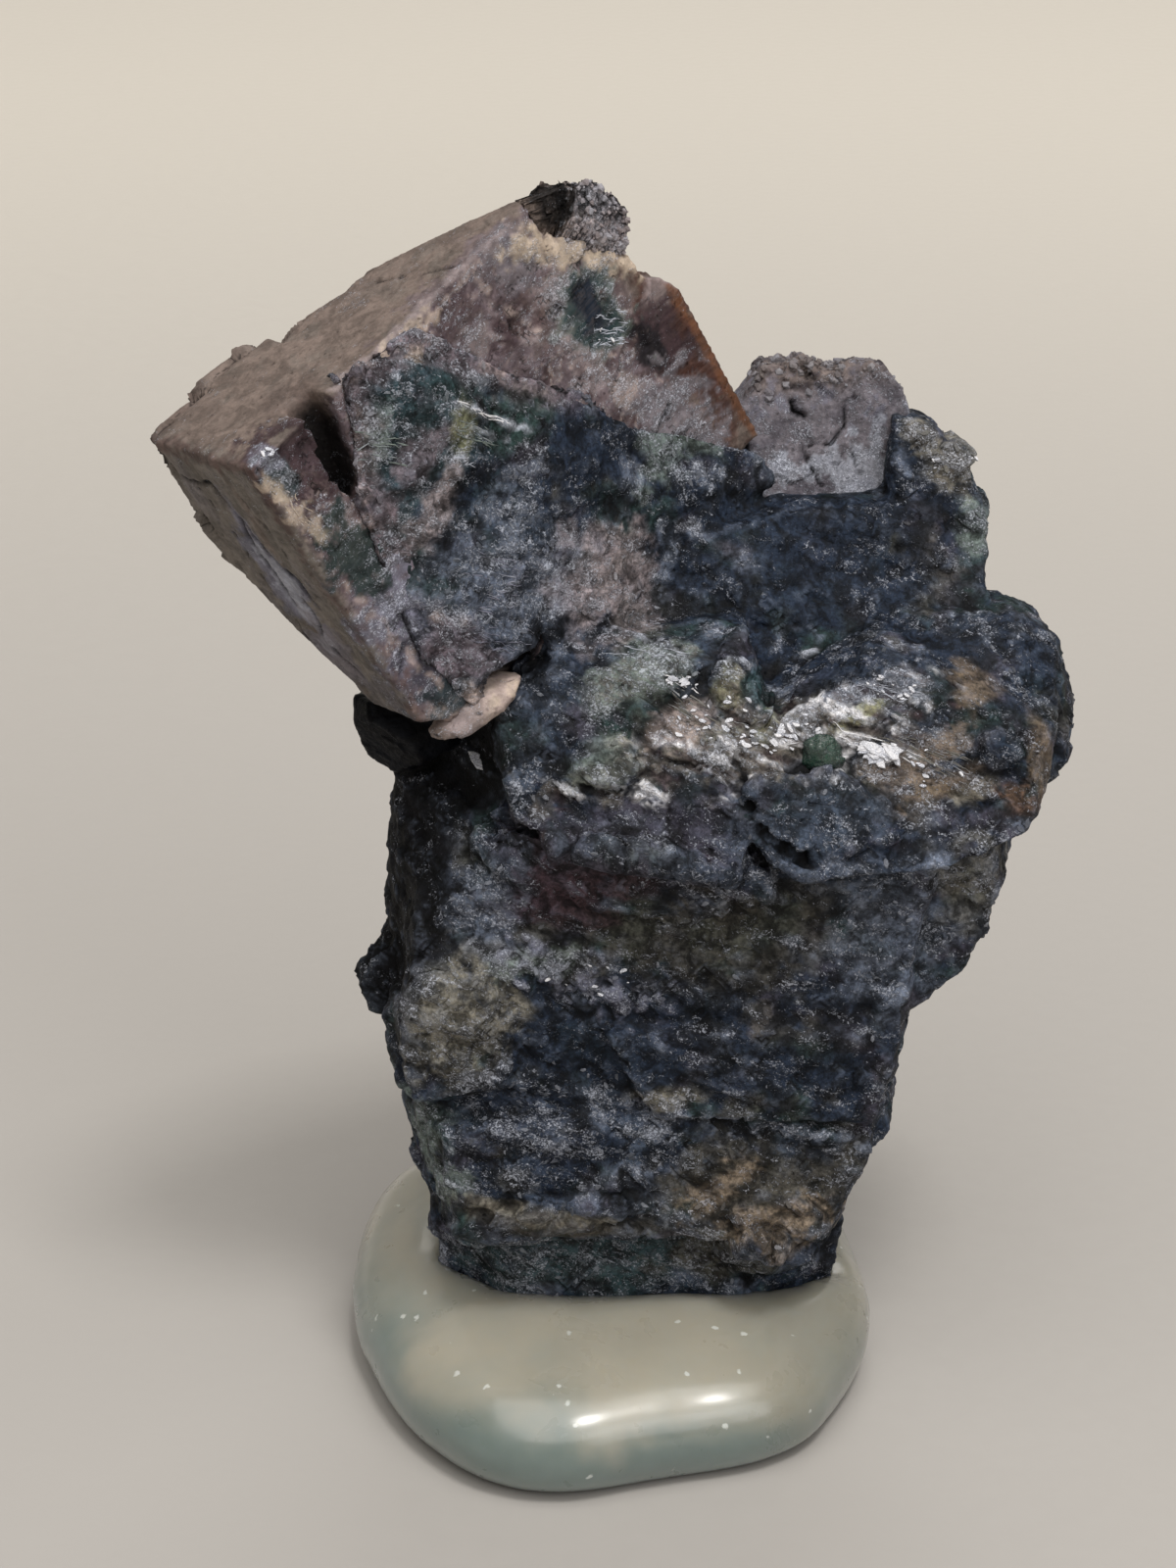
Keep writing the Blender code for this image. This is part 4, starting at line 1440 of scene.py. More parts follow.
@dataclass
class SchistRock:
    """The host rock: a stepped column with a ledge, and a skin of schist over the block's front.

    Attributes:
        voxel: width of the net in millimetres.
        along: direction of the mica streaks.
        across: direction across the layers.
        layer: thickness of the coarse layers in millimetres.
        feathered: how far in from its free edges the skin on the block thins, in millimetres.
        thinnest: share of its thickness left at those edges.
        depth: how thick that skin may be, in millimetres.
        axes: the frame of the block that the skin lies on.
        patches: minerals strewn all over the rock.
        free_edge: the edges of the skin on the block, in the block's frame.
        lenses: flakes and scoops.
        seams: cracks and veins of the rock.
        spots: minerals of the rock, and painted shade on its left wall and under the block.
        front_spots: minerals of the skin on the block, and painted shade along the block's lower edge, in the block's
            frame.
        front_seams: lines on the skin on the block, in the block's frame.
    """

    voxel: float = 0.25
    along: Point = (0.91, 0.05, -0.35)
    across: Point = (0.33, -0.25, 0.91)
    layer: float = 2.1
    feathered: float = 4.2
    thinnest: float = 0.3
    depth: float = 1.6
    axes: CrystalAxes = field(default_factory=CrystalAxes)
    patches: tuple[Patch, ...] = rows(
        Patch,
        (Stone.SLATE, 6, 91, 0.05, 0.7, 0.5),
        (Stone.DARK_GREEN, 4.5, 95, 0.05, 0.8, 0.15),
        (Stone.DUSK, 3.6, 96, 0.1, 0.75, 0.4),
        (Stone.STEEL, 2.2, 97, 0.22, 0.7, 0.9),
        (Stone.MOSS_BROWN, 5, 99, 0.25, 0.6, 0.35),
        (Stone.INK, 2.6, 98, 0.05, 0.85, 0),
    )
    free_edge: tuple[Point, ...] = (
        (3.2, 0, -21.4), (2.0, 0, -16.0), (3.8, 0, -6.8), (6.6, 0, -1.6), (7.2, 0, 0.6), (12.6, 0, -0.4),
        (16.4, 0, -6.6), (20.2, 0, -11.6), (21.3, 0, -15.2), (23.8, 0, -17.8),
    )
    lenses: tuple[Lens, ...] = rows(
        Lens,
        ((-0.4, -8.9, 44.2), (2.3, 1.5), 8, 0.65, -0.35),
        ((8.8, -6.2, 47.4), (1.1, 1.3), 10, 0.4),
        ((6.7, -7.2, 48.3), (0.8, 1.3), 0, 0.4, 0.2),
        ((9, -7.8, 46.1), (0.8, 0.7), 15, 0.35, 0.2),
        ((12.2, -10.4, 41.6), (4.8, 2.2), 14, 0.75, 0.3),
        ((4.2, -7, 48.5), (0.8, 1), 35, 0.5, 0.2),
        ((1, -9.6, 37.6), (9.5, 2.8), 6, 0.9, 0.6),
        ((-4, -9.6, 14.2), (6.4, 1.2), -9, 0.8, 0.3),
        ((-9.4, -9.9, 28.3), (3.2, 3.8), 0, 0.4, 0.2),
        ((10.4, -9.2, 13.9), (3, 2), 8, 0.5, -0.2),
        ((21.3, -8.4, 42.4), (1.5, 0.6), 20, 0.4, 0.2),
        ((22.8, -7.1, 44.4), (1.3, 1.3), 0, 0.6, 0.2),
        ((25.4, -6.4, 43), (0.8, 2.6), 12, 0.4),
        ((9.6, -7.6, 10.6), (3.2, 2.6), 12, 1.1, 0.5, 5),
        ((20.9, 5.9, 57.8), (1.4, 1), -35, 0.5),
        ((22.2, 5, 54.6), (0.9, 1), -35, 0.4),
    )
    seams: tuple[Seam, ...] = rows(
        Seam,
        (((7.3, -9.4, 44.6), (7.8, -10.1, 43.2), (8.1, -10.8, 42.4), (8.4, -11.3, 41.6), (9, -11.8, 40.7),
          (11.8, -12.1, 39.3)), 0.55, -0.6, Stone.BLACK, 0.95, 0, 0.25, 0.3),
        (((3.3, -8.9, 44.5), (5.4, -9.2, 44), (7.2, -9.3, 44.4)), 0.22, -0.3, Stone.BLACK, 0.8, 0, 0.2, 0.2),
        (((-2.2, -9.6, 43.4), (-1, -9.4, 42.7), (0.6, -9.4, 42.5)), 0.3, -0.35, Stone.BLACK, 0.9, 0, 0.2, 0.2),
        (((7.6, -9.3, 44.6), (9.2, -9.7, 44), (12.2, -9.7, 42.9)), 0.32, 0.2, Stone.BEIGE, 0.7, 0.9, 0.2),
        (((-5.5, -9.2, 32), (-1.4, -9.1, 29.8), (1.6, -9.4, 28.7)), 1.3, 0.25, Stone.LAVENDER, 0.6, 1, 0.8, 1.3),
        (((1.1, -9.3, 21.6), (4.5, -9.6, 21.2), (8.3, -9.2, 20.4), (13.6, -9.2, 19.4), (15.8, -9, 18.8)),
         0.8, 0.2, Stone.STEEL, 0.5, 0.9, 0.6, 1.3),
        (((-0.1, -2.6, 50.2), (2.7, -4.7, 50.1), (6.6, -6.2, 49.7), (10, -5.9, 48.6)),
         0.3, 0.2, Stone.SILVER, 0.5, 1, 0.25),
        (((11.2, -0.9, 47.9), (12.2, -0.7, 47.9), (12.8, -0.5, 48.8)), 0.4, 0.25, Stone.SILVER, 0.8, 1, 0.1),
        (((8, -8.6, 45.4), (9.6, -8.7, 45.3), (11.2, -7.8, 45.5)), 0.3, 0.2, Stone.WHITE_MICA, 0.7, 1, 0.15),
    )
    spots: tuple[Spot, ...] = rows(
        Spot,
        (Stone.NAVY, (13, 2, 53.5), (9, 6, 4.6), 0, 0.85, 0.1),
        (Stone.MOSS_BROWN, (5.7, -9.3, 33.2), (9.5, 4, 3.6), 8, 0.65, 0.3),
        (Stone.DUSK, (1.6, -9.6, 40.6), (8, 4, 2.6), 8, 0.6, 0.45),
        (Stone.MAROON, (-1.6, -9.4, 38), (5.4, 4, 2.2), 5, 0.75, 0.12),
        (Stone.MAROON, (-3.6, -9.3, 35.4), (3.6, 4, 2), 0, 0.75, 0.1),
        (Stone.NAVY, (0, -9, 26), (7, 4, 3), 8, 0.85, 0.15),
        (Stone.NAVY, (10, -9.2, 24), (5.4, 4, 2.2), 8, 0.7, 0.2),
        (Stone.BEIGE, (-9.4, -9.9, 28), (3.2, 4, 4.6), 0, 0.8, 0.55),
        (Stone.SAGE, (-4.2, -9.1, 31.5), (2.4, 3, 1), 12, 0.75, 0.7),
        (Stone.STEEL, (17.5, -9, 33.5), (4.6, 5, 4.4), 0, 0.5, 0.5),
        (Stone.BEIGE, (21.5, -7.5, 36), (2.4, 5, 3), 0, 0.5, 0.5),
        (Stone.NAVY, (-4.5, -9.2, 20.5), (6, 4, 4.2), 0, 0.75, 0.55),
        (Stone.MOSS_BROWN, (9.6, -9.2, 15.4), (6.4, 4, 3.4), 8, 0.7, 0.3),
        (Stone.TAN, (10.2, -8.2, 12.8), (3, 5, 1.6), 12, 0.8, 0.3, 0.4, 1.2),
        (Stone.TAN, (6.4, -9.3, 15.6), (3, 4, 0.8), 38, 0.7, 0.35, 0.4, 1.2),
        (Stone.BEIGE, (3.2, -10.1, 22.5), (2.4, 3, 0.8), 8, 0.8, 0.6, None, 0.6),
        (Stone.MOSS_BROWN, (-4, -9.8, 14.2), (6.6, 3, 1.1), -9, 0.9, 0, 0.5, 0.4),
        (Stone.BEIGE, (-4, -9.8, 14.7), (5.6, 3, 0.6), -9, 0.55, 0, 0.5, 0.6),
        (Stone.TEAL, (0, -6.5, 9.6), (11, 3.5, 3.4), 0, 0.75, 0.7, 0.5),
        (Stone.MOSS_BROWN, (7.6, -6.8, 9.6), (4.4, 3, 2.2), 20, 0.8, 0.35),
        (Stone.SAGE, (-11.6, -8, 17.6), (2.2, 4, 4), 0, 0.6, 0.5),
        (Stone.STEEL, (-7.6, -8.4, 35.6), (2.6, 3, 3.2), 0, 0.5, 0.95),
        (Stone.SAGE, (1.8, -6.4, 48.9), (3.4, 3, 1.3), 25, 0.7, 1, 0.95),
        (Stone.BEIGE, (9.6, -8.1, 45.6), (13, 3.2, 2.2), 13, 0.55, 0.7, 0.9),
        (Stone.ROSE_TAN, (4.4, -7.9, 46.6), (3.4, 2.4, 1.2), 28, 0.5, 0.9, 1),
        (Stone.NAVY, (13.8, -4.4, 48.5), (4.6, 3, 1.2), 5, 0.85, 0.3, 0.2),
        (Stone.STEEL, (16, -6.2, 47.8), (3, 2.6, 0.7), 12, 0.8, 1, 0.95),
        (Stone.TAN, (17.8, -7.8, 44.3), (5, 2.4, 1.4), 22, 0.8, 0.7, 0.95),
        (Stone.GOLD, (19.4, -8.4, 42.6), (3.6, 2.4, 0.7), 20, 0.7, 0.5, 0.8),
        (Stone.NAVY, (18.6, -6.6, 45.9), (3, 2, 0.8), 22, 0.8, 0.2),
        (Stone.GOLD, (20.8, -5.2, 47.2), (2, 2.4, 1.2), 15, 0.65, 0.4, 0.8),
        (Stone.OLIVE, (6.7, -7.2, 48.3), (1, 2, 1.4), 0, 0.7, 0.4, 0.8, 0.4),
        (Stone.TEAL, (8.8, -6.2, 47.4), (1.4, 2, 1.5), 0, 0.9, 0.2, 0.3, 0.4),
        (Stone.OLIVE, (9, -7.8, 46.1), (0.9, 1.6, 0.8), 15, 0.75, 0.4, 0.7, 0.4),
        (Stone.OLIVE, (14.6, -7.2, 46.5), (1.9, 1.4, 0.5), 28, 0.85, 0.3, 0.6, 0.4),
        (Stone.BEIGE, (21.3, -8.4, 42.4), (1.6, 1.4, 0.6), 20, 0.8, 0.6, 0.6, 0.4),
        (Stone.NAVY, (22.8, -7.1, 44.4), (1.5, 2, 1.5), 0, 0.85, 0.2, 0.3, 0.4),
        (Stone.GOLD, (25.3, -6.2, 43.4), (0.8, 3, 2.6), 8, 0.75, 0.2, 0.6, 0.6),
        (Stone.RUST, (24.4, -8.4, 41), (1.8, 3, 1), -35, 0.75, 0.2),
        (Stone.SAGE, (-0.4, -8.9, 44.2), (2.4, 2, 1.6), 8, 0.4, 0.3, 0.3, 0.4),
        (Stone.SLATE, (12.2, -10.4, 41.5), (4.6, 3, 2), 14, 0.75, 0.35, 0.3, 0.6),
        (Stone.NAVY, (25.6, -2, 48), (2.6, 5, 2.6), 0, 0.75, 0.3),
        (Stone.BEIGE, (20.6, 5.8, 58), (2.4, 4, 1.5), -35, 0.85, 0.8, 0.6),
        (Stone.SAGE, (22.4, 4.8, 54), (1.2, 4, 1.6), 0, 0.6, 0.7),
        (Stone.MOSS_BROWN, (3, 10, 41), (9, 6, 4), 14, 0.75, 0.6),
        (Stone.STEEL, (-3, 8, 27), (7, 7, 3), -10, 0.7, 0.9),
        (Stone.BEIGE, (9, 8, 19), (5, 7, 2.6), 12, 0.7, 0.7),
        (Stone.TAN, (12, 13, 47), (4, 5, 2.4), 20, 0.7, 0.6),
        (Stone.PINK_GREY, (-0.4, -2.2, 53), (3.4, 4, 3.2), 20, 0.55, 0.7),
        # Black on the left wall and under the block: partly the stone's own dark colour, partly painted shade.
        (Stone.BLACK, (-12.4, -4, 36), (3.6, 8, 10.5), 0, 0.97, 0, 0.1, 0.3),
        (Stone.BLACK, (-9.6, -4.4, 43), (4.6, 5.5, 3.8), 0, 0.95, 0, 0.1, 0.3),
        (Stone.BLACK, (-14, 0, 27.4), (2.8, 6, 5), 0, 0.97, 0, 0.1, 0.3),
        (Stone.BLACK, (-5.2, -3.6, 48.6), (2.4, 2.6, 1.6), 0, 0.95, 0, 0.3, 0.3),
    )
    front_spots: tuple[Spot, ...] = rows(
        Spot,
        (Stone.TEAL, (10, -0.6, -4.4), (7, 2.5, 5.6), 30, 0.6, 0.6),
        (Stone.DARK_GREEN, (3, -0.6, -10.4), (2.6, 2.5, 2.8), 0, 0.85, 0.3),
        (Stone.STEEL, (8, -0.6, -16.6), (5.4, 2.5, 5), 20, 0.6, 0.8),
        (Stone.PLUM, (3.8, -0.6, -17.8), (2.4, 2.5, 3.4), 0, 0.7, 0.6),
        (Stone.TEAL, (2.6, -0.6, -20.4), (2.2, 2.5, 1.6), 0, 0.6, 0.4),
        (Stone.PINK_GREY, (8.2, -0.6, -9.2), (2.6, 2.5, 1.2), 30, 0.65, 0.6),
        (Stone.PLUM, (8.8, -0.6, -6), (2.4, 2.5, 1.5), 30, 0.6, 0.4),
        (Stone.OLIVE, (11.7, -0.6, -6.8), (1.6, 2.5, 0.9), 50, 0.75, 0.7),
        (Stone.SAGE, (7, -0.6, -3.8), (2.2, 2.5, 1.1), 40, 0.6, 0.9),
        (Stone.DARK_GREEN, (16.3, -0.6, -8.6), (3.4, 2.5, 2.4), 20, 0.85, 0.2),
        (Stone.DARK_GREEN, (13.3, -0.6, -0.8), (2.6, 2.5, 1.6), 0, 0.7, 0.3),
        (Stone.NAVY, (18, -0.6, -14.4), (3.6, 2.5, 3), 20, 0.85, 0.15),
        (Stone.SAGE, (23, -0.6, -18.6), (2.8, 3, 1.8), 0, 0.5, 0.8),
        (Stone.PINK_GREY, (14, -0.6, -19.6), (2.6, 3, 2.6), 0, 0.3, 0.7),
        # Painted shade: black along the lower edge of the block's front.
        (Stone.BLACK, (7.6, -0.8, -20.9), (2.6, 2.5, 0.8), 33, 0.95, 0.05, 0.3, 0.3),
        (Stone.ROSE_TAN, (3.3, -0.6, -20.9), (1.1, 1.5, 1.3), 0, 0.8, 0.5, 0.6, 0.6),
        (Stone.LAVENDER, (2.9, -0.6, -13.6), (1.2, 2, 1.9), 0, 0.85, 0.9, 0.5, 0.5),
        (Stone.CREAM, (11.9, -0.3, -1.7), (0.5, 1.5, 0.4), 0, 0.9, 0.2),
    )
    front_seams: tuple[Seam, ...] = rows(
        Seam,
        (((12, -1, -5.3), (13.4, -1, -7.4), (14.9, -1, -9.8)), 0.3, 0.05, Stone.SILVER, 0.5, 1, 0.1),
        (((11.3, -1, -5.9), (12.6, -1, -8), (13.6, -1, -9.4)), 0.2, 0.05, Stone.SILVER, 0.4, 1, 0.1),
        (((4.6, -1, -7.7), (6.3, -1, -10.3)), 0.3, -0.5, Stone.INK, 0.8, 0, 0.2),
        (((3.2, -0.8, -12.7), (4, -0.8, -14.2), (5.1, -0.8, -16.2)), 0.4, 0.1, Stone.ROSE_TAN, 0.6, 0.8, 0.4, 0.9),
        (((6.2, -1, -2.6), (7.8, -1, -5.2)), 0.3, 0.05, Stone.SAGE, 0.6, 1, 0.2),
        (((5.4, -1, -2.9), (6.7, -1, -5)), 0.3, 0.05, Stone.SAGE, 0.6, 1, 0.2),
        (((9.8, -1, -7.8), (10.6, -1, -8.1), (11.2, -1, -9)), 0.25, 0.05, Stone.SILVER, 0.6, 1, 0.1),
    )

    def build(self) -> Object:
        """Shapes, paints and hands over the rock.

        Returns:
            The rock.
        """
        skin = Skin.of_node("schist_matrix", self.voxel, Stone.NAVY)
        self.feather(skin)
        self.shape(skin)
        self.paint(skin)
        piece = skin.as_piece("schist_rock", MineralFinish("schist", (self.along, self.across)).build())
        return hand_over(piece, "schist", "schist_matrix")

    def edge_gap(self, block: Array) -> Array:
        """Millimetres to the free edge of the skin on the block, seen square onto the block's front."""
        return path_distance(block * np.array([1, 0, 1]), self.free_edge)

    def feather(self, skin: Skin) -> None:
        """Thins the skin over the block's front towards its free edges.

        Args:
            skin: the rock's skin.
        """
        block = self.axes.of(skin.points)
        gap = self.edge_gap(block)
        thin = self.thinnest + (1 - self.thinnest) * ease(gap, 0.3, self.feathered)
        over = (block[:, 1] < 0) & (block[:, 1] > -self.depth) & (gap < self.feathered)
        block[:, 1] = np.where(over, block[:, 1] * thin, block[:, 1])
        skin.points = self.axes.back(block) + np.array(self.axes.corner)

    def shape(self, skin: Skin) -> None:
        """Breaks the skin into layers, chips, lenses and cracks.

        Args:
            skin: the rock's skin.
        """
        skin.relax(4)
        grown_to = ("perovskite_block", "side_crystal", "dark_crystal", "grey_crust", "green_grain", "cream_rind")
        skin.meet(grown_to, 0.9, 0.35)
        across = np.array(self.across) / np.linalg.norm(self.across)
        hidden = ease(skin.normals[:, 1], -0.75, 0.1) * ease(self.axes.of(skin.points)[:, 1], -1.0, 3.0)
        hidden *= ease(skin.points[:, 2], 8.0, 14.0)
        skin.relax(50, 0.5 * hidden)
        skin.push(hidden * (1.1 * chips(skin.points, 9.0, 23) + 0.35 * chips(skin.points, 3.6, 25)))
        skin.push(0.45 * noise(skin.points, 8.0, 11) + 0.2 * chips(skin.points, 4.6, 21))
        skin.push(0.22 * strata(skin.points, across, self.layer, 31))
        skin.relax(1, 0.4)
        tear = rough_noise(skin.points, 1.6, 41)
        skin.push(sum(lens.height(skin.points, tear) for lens in self.lenses))
        streaked = along_grain(skin.points, self.along, self.across, 3.0)
        skin.push(0.05 * strata(skin.points, across, 0.75, 61, 0.5) + 0.1 * chips(streaked, 0.9, 51))
        skin.push(0.14 * chips(skin.points, 1.7, 53) + 0.09 * rough_noise(streaked, 0.8, 71))

    def paint(self, skin: Skin) -> None:
        """Paints the minerals and says where loose flakes lie.

        Args:
            skin: the rock's skin.
        """
        points = skin.points
        tear = torn(points, 2.6, 81)
        skin.silver[:] = 0.25
        for patch in self.patches:
            level = rough_noise(points, patch.size, patch.seed) + 0.45 * tear
            skin.lay(patch.stone, patch.cover * ease(level, patch.least, patch.least + 0.4), patch.silver)
        skin.lay_spots(self.spots, points, tear)
        self.streak_ledge(skin)
        skin.draw_seams(self.seams, points, 101)
        block = self.axes.of(skin.points)
        skin.lay_spots(self.front_spots, block, tear)
        skin.draw_seams(self.front_seams, block, 103)
        rim = ease(self.edge_gap(block) + 1.6 * tear, 2.2, 0.4)
        rim *= ease(np.abs(block[:, 1] + 0.6), 1.6, 1.0) * ease(block[:, 2], -13.0, -9.0)
        skin.lay(Stone.PLUM, 0.8 * rim, 0.5)
        skin.lay(Stone.ROSE_TAN, 0.5 * rim * ease(tear, 0.0, 0.5), 0.6)
        out = skin.bulge()
        skin.lay(Stone.STEEL, 0.25 * ease(out, 0.006, 0.03), 0.7)
        facing = ease(skin.normals[:, 2] - 0.5 * skin.normals[:, 1], -0.2, 0.6)
        skin.flakes = np.clip(skin.silver - 0.25, 0, 1) * (0.3 + 0.7 * facing) * ease(out, -0.03, 0.0)

    def streak_ledge(self, skin: Skin) -> None:
        """Lays the ledge's long streaks of bright mica and rusty stone; the white mica is partly painted highlight.

        Args:
            skin: the rock's skin.
        """
        ledge = Spot(Stone.SILVER, (10.6, -7.8, 45.6), (12.0, 3.0, 1.9), 14, 1.0)
        mask = ledge.weight(skin.points, rough_noise(skin.points, 2.0, 111))
        bands = rough_noise(along_grain(skin.points, self.along, self.across, 8.0), 0.6, 113, 3, 0.75)
        skin.lay(Stone.MAROON, 0.7 * mask * ease(bands, -0.05, -0.35), 0.1, 0.3)
        # Silver and white mica streaks: partly the mica's own pale colour, partly painted highlight of the lit ledge.
        skin.lay(Stone.SILVER, 0.4 * mask * ease(bands, 0.08, 0.4), 1.0, 0.9)
        skin.lay(Stone.WHITE_MICA, 0.7 * mask * ease(bands, 0.3, 0.52), 1.0, 1.0)
        skin.push(0.16 * mask * bands)


